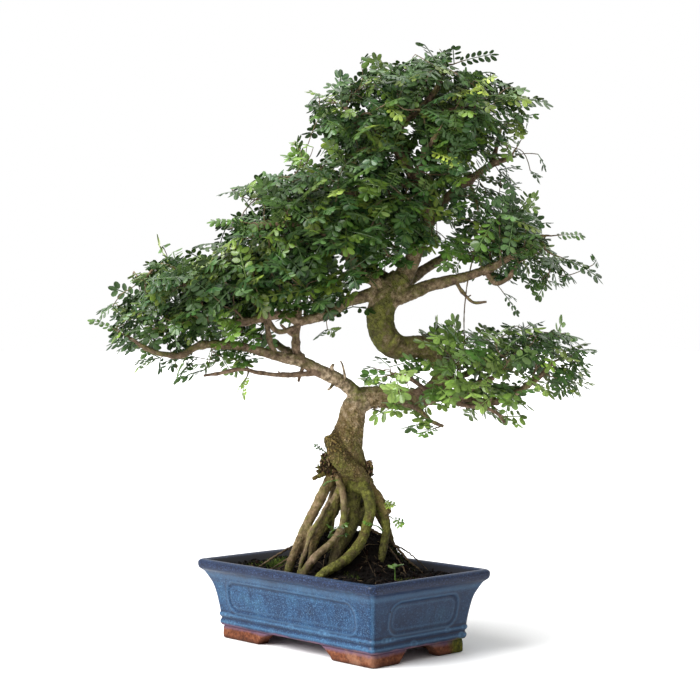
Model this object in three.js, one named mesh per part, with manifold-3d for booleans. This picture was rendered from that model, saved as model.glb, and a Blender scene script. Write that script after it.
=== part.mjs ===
// A Chinese pepper bonsai with exposed roots, in a glazed rectangular pot on four feet.
// Millimetres, +Z up. The origin is the centre of the pot's base, X runs along the pot's long side.
import * as THREE from 'three'
import { mergeVertices } from 'three/addons/utils/BufferGeometryUtils.js'
import Module from 'manifold-3d'

const wasm = await Module()
wasm.setup()

// Driving dimensions of the pot
const FOOTPRINT_LONG = 264
const FOOTPRINT_SHORT = 149
const CORNER_RADIUS = 5
const FOOT_HEIGHT = 16
const FOOT_WIDTH = 17
const FLOOR_TOP = 26
// Outer side of the pot: [height, distance outside the footprint]
const OUTER_PROFILE = [
  [16, 0], [20, 2.6], [24.5, 1.9], [28.5, 3.3], [32, 2.8], [54, 6.2], [65, 8.8], [73, 12.4],
  [80, 16.4], [84.5, 20], [89, 22.8], [93, 22.8], [96, 19.4],
]
// Inner side of the pot, from the lip down to the floor
const INNER_PROFILE = [[96, 14.6], [92.5, 11.6], [80, 4], [60, -3], [26, -7]]
// Cut-outs between the feet: half widths at each height, through the long and the short sides
const LONG_CUT = [[-1, 66], [4, 63], [12, 52], [16, 43]]
const SHORT_CUT = [[-1, 33], [4, 30], [12, 23], [16, 17]]
// Sunken panels on the four sides
const PANEL = {
  bottom: 35, height: 36, bottomOut: 2, topOut: 8.8, corner: 14, longHalf: 111, shortHalf: 54,
  cutterDepth: 14,
}
const DRAIN = { radius: 9, fromCentre: 70 }
const MESH = { size: 34, thickness: 1.2, opening: 9, pitch: 14 }

// Soil: level along the wall, and the mound under the roots
const SOIL = {
  edge: 86, corner: 9, mound: 45, moundX: -2, moundY: 15, spread: 62, ripple: 1.6,
  rings: [0.92, 0.7, 0.5, 0.3, 0.1],
}

// Gaps between neighbouring pieces, and between the soil and the pot's wall
const GAP = 0.35
const WALL_GAP = 0.6

// The tree is drawn from its front. The front is turned this far from the pot's long side.
const FRONT_TURN = THREE.MathUtils.degToRad(46.7)
// How far across the middle of the canopy is
const CANOPY_CENTRE = 40

// Limbs: [across, depth away from the viewer, height, radius], from where each grows to its tip
const TRUNK = [
  [16, 0, 174, 11], [21, 0, 188, 15], [17, 0, 205, 17.5], [8, 0, 222, 20.5], [5, 0, 236, 21.5],
  [9, 0, 250, 19], [13, 0, 264, 16], [15, 0, 279, 15], [26, 0, 291, 15], [45, -1, 294, 13],
  [71, -3, 292, 12.5], [94, -5, 293, 12.5], [113, -5, 303, 12.5], [123, -3, 322, 12.5],
  [116, 0, 343, 12.5], [95, 0, 354, 13], [73, 0, 352, 14.5], [57, 0, 360, 16.5], [48, 0, 379, 16.5],
  [49, 0, 400, 16.5], [59, 2, 419, 18], [73, 3, 436, 15],
]
// The thick fold that winds across the front of the trunk's foot
const FOLD = [
  [-11, -6, 247, 9], [-7, -16, 232, 10], [3, -19, 216, 10.5], [20, -15, 203, 10.5], [33, -6, 190, 9],
]
const ROOTS = {
  leftOuter: [[-8, -4, 204, 6.5], [-17, -8, 187, 6.3], [-31, -16, 159, 6], [-41, -22, 140, 5.8],
    [-51, -30, 118, 5.4], [-59, -34, 98, 5], [-62, -36, 82, 4]],
  leftInner: [[4, -6, 198, 5.5], [-9, -14, 167, 5.2], [-18, -20, 150, 5], [-27, -28, 134, 5],
    [-32, -34, 117, 4.6], [-36, -40, 92, 4]],
  leftBehind: [[11, 4, 188, 5], [-8, 16, 154, 4.8], [-19, 24, 133, 4.5], [-30, 32, 113, 4],
    [-37, 36, 93, 3.5]],
  thinFront: [[0, -8, 190, 2.5], [-12, -14, 170, 2.5], [-24, -26, 152, 2.6], [-33, -36, 137, 2.5],
    [-40, -46, 118, 2.6], [-45, -52, 103, 2.6], [-49, -56, 85, 2.2]],
  paleFront: [[-5, -12, 203, 4], [3, -20, 181, 3.8], [4, -26, 160, 3.8], [1, -36, 141, 4],
    [-9, -46, 128, 4.2], [-26, -56, 114, 4.6], [-38, -60, 100, 5], [-46, -62, 84, 3.6]],
  core: [[15, -2, 188, 9.5], [16, -8, 165, 9], [14, -18, 147, 8.6], [6, -30, 132, 8.2],
    [-3, -42, 117, 7.6], [-9, -50, 96, 6]],
  crossing: [[35, -8, 170, 4], [28, -12, 159, 3.8], [18, -20, 148, 3.7], [8, -30, 138, 3.8],
    [-4, -40, 127, 4]],
  bigFront: [[14, -10, 191, 7.5], [30, -18, 184, 6.8], [35, -24, 166, 6.4], [31, -32, 144, 6.2],
    [22, -44, 124, 6], [4, -58, 107, 6], [-14, -68, 97, 5.6], [-28, -76, 87, 4.6]],
  rightStub: [[26, -4, 193, 8], [39, -8, 181, 7], [48, -14, 168, 6.6], [56, -20, 157, 5.2]],
  rightHanging: [[37, -6, 172, 6], [48, -14, 160, 5.6], [54, -20, 143, 5.2], [52, -26, 126, 5],
    [48, -32, 108, 4.6], [44, -36, 90, 3.6]],
  leftStub: [[-9, -4, 211, 4], [-22, -10, 203, 3.2], [-33, -16, 198, 2.6]],
  behindOuter: [[4, 4, 206, 4], [-10, 8, 194, 4], [-25, 18, 172, 3.8], [-38, 30, 145, 3.6],
    [-51, 42, 115, 3.4], [-58, 48, 84, 3]],
  backLeft: [[11, 12, 192, 7], [-1, 28, 169, 6], [-13, 42, 143, 5.4], [-23, 54, 115, 5],
    [-29, 62, 84, 4.2]],
  backMiddle: [[23, 12, 187, 7], [27, 28, 161, 6.2], [31, 42, 133, 5.6], [33, 52, 110, 5],
    [35, 58, 86, 4]],
  backRight: [[30, 4, 186, 6], [43, 14, 160, 5.4], [55, 24, 135, 5], [63, 30, 110, 4.6],
    [68, 34, 86, 3.6]],
}
const BRANCHES = {
  leader: [[71, 4, 431, 13], [84, 4, 454, 10], [94, 2, 479, 8.2], [104, 0, 497, 7.4], [102, -2, 522, 7],
    [95, -3, 542, 6.4], [81, -4, 566, 6], [68, -3, 590, 5.4], [73, -1, 619, 5], [93, 0, 635, 4.4],
    [114, 1, 659, 3.6], [124, 1, 688, 2.4]],
  crownUp: [[73, -1, 616, 4], [73, 0, 638, 3.2], [71, 2, 669, 2.2]],
  crownLeft: [[71, -4, 592, 4], [49, -8, 603, 3.4], [26, -10, 620, 2.8], [5, -8, 637, 1.9]],
  crownBack: [[76, -2, 576, 4.4], [84, 28, 596, 3.8], [97, 52, 619, 3], [108, 70, 636, 2]],
  crownFront: [[87, -6, 554, 4], [96, -30, 575, 3.4], [106, -52, 590, 2.6], [112, -66, 600, 1.8]],
  crownRight: [[93, 0, 635, 3.8], [121, 4, 634, 3], [150, 4, 641, 2.6], [178, 2, 648, 2]],
  rightArm: [[103, 0, 512, 6], [119, 4, 524, 5], [137, 5, 541, 4.8], [152, 3, 551, 4.6],
    [171, 0, 565, 4.2], [186, -3, 573, 3.6], [203, -6, 578, 2.6]],
  armUp: [[176, 0, 566, 3], [186, 10, 589, 2.6], [192, 22, 615, 1.8]],
  right: [[68, 0, 414, 11], [85, -3, 418, 8.5], [101, -6, 425, 7.4], [120, -9, 430, 7],
    [142, -13, 435, 6.2], [165, -17, 442, 5.2], [184, -21, 450, 4.4], [202, -24, 460, 3.6],
    [223, -24, 474, 2.6], [239, -22, 484, 1.8]],
  rightLow: [[172, -18, 442, 3.6], [182, -22, 428, 3], [194, -26, 432, 2.4], [206, -30, 448, 2]],
  rightTwig: [[135, -12, 433, 2.6], [144, -18, 418, 2.1], [156, -24, 406, 1.7], [171, -30, 407, 1.3]],
  rightBack: [[76, 8, 429, 8], [101, 34, 447, 6], [129, 58, 465, 4.6], [158, 76, 481, 3.4],
    [188, 88, 492, 2.2]],
  left: [[45, -2, 419, 9], [26, -5, 413, 7.4], [9, -9, 408, 6.8], [-12, -13, 394, 6.2],
    [-33, -17, 387, 6], [-50, -20, 384, 5.6], [-66, -23, 391, 4.8], [-87, -27, 389, 4.8],
    [-111, -32, 383, 4.2], [-138, -38, 384, 3.4], [-167, -44, 389, 2.4]],
  leftUp: [[47, -4, 428, 8], [26, -14, 442, 6.2], [6, -24, 465, 5], [-12, -32, 483, 4.4],
    [-35, -40, 494, 3.8], [-64, -46, 496, 3], [-95, -48, 496, 2]],
  leftBack: [[57, 10, 434, 8], [31, 36, 449, 6.4], [4, 58, 470, 5.2], [-28, 74, 486, 4],
    [-63, 84, 497, 2.8], [-91, 88, 502, 1.8]],
  midLeft: [[87, -4, 547, 4.6], [63, -14, 544, 4], [35, -24, 535, 3.4], [9, -30, 533, 2.8],
    [-14, -32, 539, 1.8]],
  lowLeft: [[26, -2, 288, 10], [11, -6, 305, 8.6], [-5, -10, 316, 8], [-26, -14, 326, 7.6],
    [-45, -18, 336, 7.2], [-66, -22, 341, 6.4], [-85, -26, 346, 5.6], [-106, -30, 352, 5],
    [-136, -36, 356, 4.6], [-163, -40, 356, 4.2], [-184, -44, 344, 3.8], [-206, -48, 345, 3.2],
    [-225, -50, 352, 2.6], [-243, -52, 364, 1.8]],
  post: [[-43, -18, 334, 5], [-51, -18, 348, 4.6], [-53, -18, 366, 4.4], [-50, -19, 383, 4.6],
    [-49, -20, 402, 3.6], [-50, -20, 421, 2.4]],
  link: [[-75, -24, 343, 3.8], [-82, -26, 359, 3.2], [-87, -27, 384, 2.8]],
  loop: [[-87, -27, 388, 3.4], [-74, -26, 372, 3], [-59, -22, 374, 3], [-51, -19, 377, 3]],
  lowPale: [[-26, -14, 324, 4], [-47, -22, 321, 3], [-68, -28, 321, 2.6], [-91, -36, 323, 2.4],
    [-116, -44, 328, 2.3], [-139, -50, 323, 2], [-158, -54, 320, 1.5]],
  lowBack: [[-41, -14, 333, 5.4], [-65, 14, 350, 4.6], [-95, 38, 365, 4], [-131, 54, 377, 3.4],
    [-168, 62, 387, 2.6], [-203, 66, 394, 1.8]],
  lowRight: [[106, -6, 295, 7], [127, -10, 296, 5.2], [145, -13, 300, 4.4], [163, -16, 310, 3.6],
    [181, -18, 318, 2.4]],
  lowOut: [[132, -9, 296, 4.6], [156, -10, 290, 4.2], [179, -10, 288, 4], [201, -8, 296, 3.8],
    [220, -4, 307, 3.5], [239, 0, 320, 3.1], [254, 3, 336, 2.4]],
  lowHang: [[127, -10, 293, 3.2], [146, -18, 285, 2.7], [166, -26, 283, 2.3], [183, -34, 276, 2],
    [191, -38, 265, 1.5]],
  lowFront: [[85, -10, 286, 4], [94, -22, 278, 3], [105, -34, 268, 2.4], [119, -44, 262, 1.6]],
  lowBackRight: [[114, 0, 300, 5], [132, 22, 311, 4], [155, 42, 321, 3], [181, 58, 330, 2]],
  paleTwig: [[106, -12, 298, 3], [86, -26, 314, 2.4], [65, -40, 323, 1.5]],
}

// Radii from which a limb gets five and four sides, and how many rows it gets for each of its points
const WOOD = { trunkSides: 8, foldSides: 6, stout: 5, middling: 3.6, rowShare: 0.66 }

// Leafy sprays: [limb, place along it, tone, where the end leaf's tip reaches: across, depth, height]
const SPRAYS = [
  ['leader', 1, 'deep', [187, -8, 698]],
  ['leader', 0.9, 'deep', [103, 30, 710]],
  ['crownUp', 0.5, 'deep', [45, 64, 668]],
  ['crownLeft', 1, 'young', [-37, -8, 660]],
  ['crownLeft', 0.9, 'deep', [-38, 52, 610]],
  ['crownLeft', 0.6, 'deep', [-5, -56, 592]],
  ['crownUp', 0.4, 'deep', [59, -78, 648]],
  ['crownBack', 1, 'deep', [119, 104, 699]],
  ['leader', 0.82, 'young', [159, -62, 651]],
  ['crownRight', 1, 'deep', [253, 2, 643]],
  ['crownRight', 0.75, 'deep', [200, 78, 668]],
  ['crownRight', 0.5, 'deep', [180, -82, 602]],
  ['rightArm', 1, 'deep', [222, -18, 622]],
  ['rightArm', 0.45, 'deep', [120, 52, 606]],
  ['armUp', 1, 'deep', [222, 78, 628]],
  ['rightArm', 0.5, 'deep', [172, -86, 563]],
  ['crownFront', 1, 'deep', [119, -112, 607]],
  ['midLeft', 1, 'green', [-56, -34, 587]],
  ['midLeft', 0.7, 'deep', [-11, -90, 556]],
  ['leftUp', 1, 'green', [-153, -50, 498]],
  ['leftUp', 0.75, 'deep', [-94, -76, 544]],
  ['leftBack', 1, 'deep', [-150, 40, 505]],
  ['leftBack', 0.75, 'deep', [-80, 70, 566]],
  ['lowLeft', 1, 'deep', [-289, -52, 388]],
  ['left', 0.72, 'green', [-150, 36, 448]],
  ['lowBack', 0.8, 'deep', [-200, 2, 440]],
  ['left', 0.95, 'young', [-217, -40, 480]],
  ['left', 0.8, 'deep', [-168, -110, 428]],
  ['left', 0.45, 'deep', [-48, 44, 462]],
  ['lowLeft', 0.72, 'deep', [-187, -80, 320]],
  ['lowPale', 0.6, 'young', [-112, -78, 296]],
  ['lowBack', 1, 'deep', [-285, 66, 425]],
  ['lowBack', 0.75, 'deep', [-215, 104, 461]],
  ['post', 1, 'deep', [-91, -40, 457]],
  ['crownBack', 0.35, 'deep', [8, 62, 588]],
  ['leader', 0.05, 'deep', [25, -92, 483]],
  ['leftBack', 0.3, 'deep', [18, 32, 532]],
  ['leader', 0.2, 'deep', [117, 106, 518]],
  ['right', 1, 'deep', [284, -14, 485]],
  ['right', 0.9, 'deep', [303, -50, 430]],
  ['right', 0.7, 'deep', [172, -92, 495]],
  ['lowBackRight', 0.35, 'green', [132, 34, 386]],
  ['rightBack', 0.6, 'deep', [208, 22, 500]],
  ['rightBack', 1, 'deep', [252, 98, 512]],
  ['paleTwig', 1, 'light', [27, -70, 311]],
  ['lowFront', 1, 'light', [88, -84, 254]],
  ['lowRight', 0.5, 'light', [126, -66, 387]],
  ['lowHang', 0.75, 'light', [206, -78, 262]],
  ['lowOut', 1, 'deep', [300, -8, 348]],
  ['lowOut', 0.86, 'deep', [276, -30, 306]],
  ['lowOut', 0.72, 'green', [267, 8, 391]],
  ['lowBackRight', 1, 'deep', [225, 102, 368]],
]
const TONES = { deep: 0x2f5a2c, green: 0x3f7030, light: 0x5f8a3c, young: 0x86a83a }

// A spray's leaves: leaflets in pairs along each rib, one more at its end
const LEAF = {
  spacing: 13.5, leaflet: 16, width: 10, neck: 1, halfRib: 0.45, thickness: 0.62, lean: 62, turn: 78,
  smallest: 0.68, largest: 1.06, firstSize: 0.85, endWidest: 0.6, fold: 0.15, leastDroop: 0.1,
  moreDroop: 0.15, roll: 1.2, upward: 0.7,
}
// Outer corners of a leaflet, in its own lengths and widths: the one nearer the leaf's foot first
const LEAFLET_CORNERS = [[0.66, -0.5], [0.97, 0.3]]
const END_LEAF = { first: 20, pairs: 3 }
const SIDE_LEAF = { from: 2.4, first: 9, pairs: 2 }
const SEEDLING = { across: 63, depth: -60, foot: 80, height: 21, radius: 0.9, leaf: 5, tilt: 24, leaves: 4 }
const TWIG = {
  rootRadius: 1.6, tipRadius: 1.15, sides: 3, steps: 2, sink: 2, shortest: 7, arch: 0.05, climbFirst: 0.14,
}

const UP = new THREE.Vector3(0, 0, 1)

// Draws that come out the same on every run
function seededDraws(seed) {
  let state = seed >>> 0
  return () => {
    state = (state + 0x6d2b79f5) >>> 0
    let mixed = Math.imul(state ^ (state >>> 15), state | 1)
    mixed ^= mixed + Math.imul(mixed ^ (mixed >>> 7), mixed | 61)
    return ((mixed ^ (mixed >>> 14)) >>> 0) / 4294967296
  }
}

// Solids

function solidOf(geometry) {
  const bare = geometry.clone()
  bare.deleteAttribute('normal')
  bare.deleteAttribute('uv')
  const merged = mergeVertices(bare, 1e-4)
  const vertProperties = Float32Array.from(merged.attributes.position.array)
  const triVerts = Uint32Array.from(merged.index.array)
  return new wasm.Manifold(new wasm.Mesh({ numProp: 3, vertProperties, triVerts }))
}

function meshOf(name, solid, color, roughness) {
  const { vertProperties, triVerts } = solid.getMesh()
  const geometry = new THREE.BufferGeometry()
  geometry.setAttribute('position', new THREE.BufferAttribute(vertProperties, 3))
  geometry.setIndex(new THREE.BufferAttribute(triVerts, 1))
  geometry.computeVertexNormals()
  const mesh = new THREE.Mesh(geometry, new THREE.MeshStandardMaterial({ color, roughness, metalness: 0 }))
  mesh.name = name
  return mesh
}

const joined = solids => solids.reduce((whole, next) => whole.add(next))

// Cutting can leave scraps: only the largest body is the piece
function largestBody(solid) {
  const bodies = solid.decompose()
  return bodies.reduce((best, next) => (next.volume() > best.volume() ? next : best))
}

function isClear(solid, others) {
  return others.every(other => solid.minGap(other, 2 * GAP) >= GAP)
}

// Closed skin through rings of points, with a flat cap at each end
function skinOf(rings) {
  const around = rings[0].length
  const middle = ring => ring.reduce((sum, point) => sum.add(point), new THREE.Vector3()).divideScalar(around)
  const points = [...rings.flat(), middle(rings[0]), middle(rings.at(-1))]
  const first = points.length - 2
  const last = points.length - 1
  const index = []
  for (let side = 0; side < around; side++) {
    const next = (side + 1) % around
    for (let row = 0; row < rings.length - 1; row++) {
      const low = row * around
      const high = low + around
      index.push(low + side, low + next, high + next, low + side, high + next, high + side)
    }
    const top = (rings.length - 1) * around
    index.push(first, next, side, last, top + side, top + next)
  }
  const geometry = new THREE.BufferGeometry().setFromPoints(points)
  geometry.setIndex(index)
  return geometry
}

// Rounded rectangle of points
function roundedRing(halfX, halfY, radius, height, stepsPerCorner = 3) {
  const ring = []
  for (let corner = 0; corner < 4; corner++) {
    const signX = corner === 0 || corner === 3 ? 1 : -1
    const signY = corner < 2 ? 1 : -1
    for (let step = 0; step <= stepsPerCorner; step++) {
      const angle = (corner + step / stepsPerCorner) * Math.PI / 2
      const x = signX * (halfX - radius) + radius * Math.cos(angle)
      const y = signY * (halfY - radius) + radius * Math.sin(angle)
      ring.push(new THREE.Vector3(x, y, height))
    }
  }
  return ring
}

function extruded(outline, depth) {
  const shape = new THREE.Shape(outline.map(([x, y]) => new THREE.Vector2(x, y)))
  return new THREE.ExtrudeGeometry(shape, { depth, bevelEnabled: false })
}

// Point of the tree's front frame, in the pot's frame
function fromFront([across, depth, height]) {
  return new THREE.Vector3(across, depth, height).applyAxisAngle(UP, FRONT_TURN)
}

// Centre and tangent of a limb at a place from 0 to 1, counted by its points
function limbCurve(points) {
  return new THREE.CatmullRomCurve3(points.map(fromFront), false, 'centripetal')
}

function radiusAt(points, place) {
  const span = place * (points.length - 1)
  const index = Math.min(Math.floor(span), points.length - 2)
  return THREE.MathUtils.lerp(points[index][3], points[index + 1][3], span - index)
}

// Round tapered limb through its points, thicker by grow all over
function limb(points, sides, steps, grow = 0) {
  const curve = limbCurve(points)
  let normal = new THREE.Vector3(0.36, 0.48, 0.8)
  const rings = []
  for (let step = 0; step <= steps; step++) {
    const place = step / steps
    const centre = curve.getPoint(place)
    const tangent = curve.getTangent(place)
    if (step === 0) centre.addScaledVector(tangent, -grow)
    if (step === steps) centre.addScaledVector(tangent, grow)
    normal = normal.clone().projectOnPlane(tangent).normalize()
    const binormal = tangent.clone().cross(normal)
    const radius = radiusAt(points, place) + grow
    const ring = []
    for (let side = 0; side < sides; side++) {
      const angle = 2 * Math.PI * side / sides
      const offset = normal.clone().multiplyScalar(radius * Math.cos(angle))
      offset.addScaledVector(binormal, radius * Math.sin(angle))
      ring.push(offset.add(centre))
    }
    rings.push(ring)
  }
  return skinOf(rings)
}

// Pot

function prismAcross(profile, length) {
  // A cut-out's outline in its side's plane, pushed through the whole pot along Y
  const mirrored = [...profile].reverse().map(([height, half]) => [-half, height])
  const outline = [...profile.map(([height, half]) => [half, height]), ...mirrored]
  return extruded(outline, length).rotateX(Math.PI / 2).translate(0, length / 2, 0)
}

function panelCutter(half) {
  // Stands on the pot's side that faces -Y, its floor tilted with the wall
  const lean = Math.atan2(PANEL.topOut - PANEL.bottomOut, PANEL.height)
  const length = PANEL.height / Math.cos(lean)
  const ring = roundedRing(half, length / 2, PANEL.corner, 0, 2)
  const cutter = extruded(ring.map(point => [point.x, point.y]), PANEL.cutterDepth)
  cutter.translate(0, length / 2, 0).rotateX(Math.PI / 2 + lean)
  return cutter.translate(0, -PANEL.bottomOut, PANEL.bottom)
}

function buildPot() {
  const halfX = FOOTPRINT_LONG / 2
  const halfY = FOOTPRINT_SHORT / 2
  const level = ([height, out]) =>
    roundedRing(halfX + out, halfY + out, CORNER_RADIUS + Math.max(out, 0) / 10, height, 2)
  const body = solidOf(skinOf([...OUTER_PROFILE, ...INNER_PROFILE].map(level)))
  const footHeight = FOOT_HEIGHT + 1
  const block = (inset, low, high) => {
    const ringAt = height => roundedRing(halfX - inset, halfY - inset, CORNER_RADIUS, height, 2)
    return solidOf(skinOf([ringAt(low), ringAt(high)]))
  }
  const feet = block(0, 0, footHeight)
    .subtract(block(FOOT_WIDTH, -1, FOOT_HEIGHT))
    .subtract(solidOf(prismAcross(LONG_CUT, 2 * FOOTPRINT_SHORT)))
    .subtract(solidOf(prismAcross(SHORT_CUT, 2 * FOOTPRINT_LONG).rotateZ(Math.PI / 2)))
  let pot = body.add(feet)
  for (const side of [-1, 1]) {
    const drain = new THREE.CylinderGeometry(DRAIN.radius, DRAIN.radius, 2 * FLOOR_TOP, 12)
    drain.rotateX(Math.PI / 2).translate(side * DRAIN.fromCentre, 0, FLOOR_TOP)
    pot = pot.subtract(solidOf(drain))
  }
  const panels = [[PANEL.longHalf, halfY, 0], [PANEL.shortHalf, halfX, 1], [PANEL.longHalf, halfY, 2],
    [PANEL.shortHalf, halfX, 3]]
  for (const [half, wall, quarter] of panels) {
    const cutter = panelCutter(half).translate(0, -wall, 0).rotateZ(quarter * Math.PI / 2)
    pot = pot.subtract(solidOf(cutter))
  }
  return pot
}

function meshPlate(side, grow = 0) {
  const size = MESH.size + 2 * grow
  const bottom = FLOOR_TOP + GAP - grow
  const plate = new THREE.BoxGeometry(size, size, MESH.thickness + 2 * grow)
  plate.translate(side * DRAIN.fromCentre, 0, bottom + MESH.thickness / 2 + grow)
  let solid = solidOf(plate)
  if (grow) return solid
  for (const x of [-1, 1]) {
    for (const y of [-1, 1]) {
      const opening = new THREE.BoxGeometry(MESH.opening, MESH.opening, 2 * FLOOR_TOP)
      opening.translate(side * DRAIN.fromCentre + x * MESH.pitch / 2, y * MESH.pitch / 2, FLOOR_TOP)
      solid = solid.subtract(solidOf(opening))
    }
  }
  return solid
}

// Soil

function soilHeight(x, y) {
  // Flat-topped bell, with two sets of long low waves
  const away = Math.hypot(x - SOIL.moundX, y - SOIL.moundY) / SOIL.spread
  const ripple = Math.sin(x / 9 + 1) * Math.cos(y / 7) + Math.sin(x / 17 - y / 13)
  return SOIL.edge + SOIL.mound * Math.exp(-(away ** 4)) + SOIL.ripple * ripple
}

function buildSoil(cutters) {
  const innerOut = height => {
    const [above, below] = INNER_PROFILE.slice(1).flatMap((low, row) => {
      const high = INNER_PROFILE[row]
      return height <= high[0] && height >= low[0] ? [high, low] : []
    })
    return THREE.MathUtils.mapLinear(height, below[0], above[0], below[1], above[1])
  }
  const wallRing = height => {
    const out = innerOut(height) - WALL_GAP
    return roundedRing(FOOTPRINT_LONG / 2 + out, FOOTPRINT_SHORT / 2 + out, SOIL.corner, height)
  }
  const rings = [FLOOR_TOP + GAP, 60, 80, SOIL.edge].map(wallRing)
  const edge = rings.at(-1)
  for (const share of SOIL.rings) {
    rings.push(edge.map((_, number) => {
      const angle = 2 * Math.PI * (number + 0.5) / edge.length
      const x = THREE.MathUtils.lerp(SOIL.moundX, FOOTPRINT_LONG / 2 * Math.cos(angle), share)
      const y = THREE.MathUtils.lerp(SOIL.moundY, FOOTPRINT_SHORT / 2 * Math.sin(angle), share)
      return new THREE.Vector3(x, y, soilHeight(x, y))
    }))
  }
  return largestBody(solidOf(skinOf(rings)).subtract(joined(cutters)))
}

// Wood

// Every limb of the tree as one body, thicker by grow all over
function buildWood(grow) {
  const rows = points => points.length - 1
  const sidesFor = radius => (radius >= WOOD.stout ? 5 : radius >= WOOD.middling ? 4 : 3)
  const grown = points => limb(points, sidesFor(points[0][3]), Math.ceil(WOOD.rowShare * rows(points)), grow)
  const trunk = [
    limb(TRUNK, WOOD.trunkSides, rows(TRUNK), grow),
    limb(FOLD, WOOD.foldSides, rows(FOLD), grow),
  ]
  const limbs = [...Object.values(ROOTS), ...Object.values(BRANCHES)].map(grown)
  return joined([...trunk, ...limbs].map(solidOf))
}

// Leaves

// Leaflets and ribs of a spray in its own plane, as points and triangles
class Sheet {
  points = []
  faces = []

  point(rib, along, across) {
    const x = rib.x + along * Math.cos(rib.angle) - across * Math.sin(rib.angle)
    const y = rib.y + along * Math.sin(rib.angle) + across * Math.cos(rib.angle)
    return this.points.push([x, y, Math.abs(across)]) - 1
  }

  // Lengthens a rib to a place along it, and returns its new end: [left, right]
  lengthen(rib, [left, right], along) {
    const end = [this.point(rib, along, LEAF.halfRib), this.point(rib, along, -LEAF.halfRib)]
    this.faces.push([left, right, end[1]], [left, end[1], end[0]])
    return end
  }

  // Four-cornered leaflet that leans forward from the rib, from its root to its end on that side
  leaflet(rib, root, end, along, side, size) {
    const lean = THREE.MathUtils.degToRad(LEAF.lean)
    const [near, far] = LEAFLET_CORNERS.map(([length, width]) => {
      const forward = LEAF.leaflet * length * Math.cos(lean) + LEAF.width * width * Math.sin(lean)
      const outward = LEAF.leaflet * length * Math.sin(lean) - LEAF.width * width * Math.cos(lean)
      return this.point(rib, along + size * forward, side * (LEAF.halfRib + size * outward))
    })
    const faces = side > 0 ? [[root, end, far], [root, far, near]] : [[root, far, end], [root, near, far]]
    this.faces.push(...faces)
  }

  // One compound leaf from the end of its rib so far
  leaf(rib, start, { first, pairs }) {
    let end = start
    for (let pair = 0; pair < pairs; pair++) {
      const along = first + LEAF.spacing * pair
      const size = pair === 0 ? LEAF.firstSize : 1
      const roots = this.lengthen(rib, end, along - LEAF.neck)
      end = this.lengthen(rib, roots, along + LEAF.neck)
      this.leaflet(rib, roots[0], end[0], along, 1, size)
      this.leaflet(rib, roots[1], end[1], along, -1, size)
    }
    const last = first + LEAF.spacing * (pairs - 1) + LEAF.neck
    const widest = last + LEAF.endWidest * LEAF.leaflet
    const wide = [1, -1].map(side => this.point(rib, widest, side * LEAF.width / 2))
    const tip = this.point(rib, last + LEAF.leaflet, 0)
    this.faces.push([...end, wide[1]], [end[0], wide[1], tip], [end[0], tip, wide[0]])
  }

  // Blade of even thickness over the sheet, arched along X and folded down from the ribs
  blade(scale, droop) {
    const reach = END_LEAF.first + LEAF.spacing * END_LEAF.pairs
    const height = ([x, , fromRib]) => -droop * x * x / reach - LEAF.fold * fromRib
    const count = this.points.length
    const half = LEAF.thickness / 2
    const skin = [half, -half].flatMap(lift => this.points.map(point =>
      new THREE.Vector3(scale * point[0], scale * point[1], scale * height(point) + lift)))
    const edges = new Map()
    for (const [a, b, c] of this.faces) {
      for (const [from, to] of [[a, b], [b, c], [c, a]]) {
        if (!edges.delete(`${to} ${from}`)) edges.set(`${from} ${to}`, [from, to])
      }
    }
    const index = this.faces.flatMap(([a, b, c]) => [a, b, c, a + count, c + count, b + count])
    for (const [from, to] of edges.values()) {
      index.push(from, from + count, to + count, from, to + count, to)
    }
    const geometry = new THREE.BufferGeometry().setFromPoints(skin)
    geometry.setIndex(index)
    return geometry
  }
}

// End leaf of a spray and a side leaf: side is 1 for the left, -1 for the right and 0 for none
function leavesGeometry(side, scale, droop) {
  const sheet = new Sheet()
  const rib = { x: 0, y: 0, angle: 0 }
  let end = [sheet.point(rib, -TWIG.sink, LEAF.halfRib), sheet.point(rib, -TWIG.sink, -LEAF.halfRib)]
  if (side) {
    const low = sheet.lengthen(rib, end, SIDE_LEAF.from - LEAF.halfRib)
    end = sheet.lengthen(rib, low, SIDE_LEAF.from + LEAF.halfRib)
    const angle = side * THREE.MathUtils.degToRad(LEAF.turn)
    const sideRib = { x: SIDE_LEAF.from, y: side * LEAF.halfRib, angle }
    sheet.leaf(sideRib, side > 0 ? [low[0], end[0]] : [end[1], low[1]], SIDE_LEAF)
  }
  sheet.leaf(rib, end, END_LEAF)
  return sheet.blade(scale, droop)
}

// Sets leaves at a point, along a direction, their faces turned as far as that allows to the light
function placedLeaves(origin, direction, light, roll, side, scale, droop) {
  const along = direction.clone().normalize()
  const face = light.clone().projectOnPlane(along).normalize().applyAxisAngle(along, roll)
  const matrix = new THREE.Matrix4().makeBasis(along, face.clone().cross(along), face).setPosition(origin)
  return solidOf(leavesGeometry(side, scale, droop).applyMatrix4(matrix))
}

// A twig climbs first and then levels out, the steeper it is the more
function twigBetween(from, to) {
  const climb = Math.max(to.z - from.z, 0)
  const middle = from.clone().lerp(to, 0.5)
  middle.z += TWIG.arch * from.distanceTo(to) + TWIG.climbFirst * climb
  return [from, middle, to].map((point, row) => {
    const radius = THREE.MathUtils.lerp(TWIG.rootRadius, TWIG.tipRadius, row / 2)
    return [...point.clone().applyAxisAngle(UP, -FRONT_TURN).toArray(), radius]
  })
}

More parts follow.
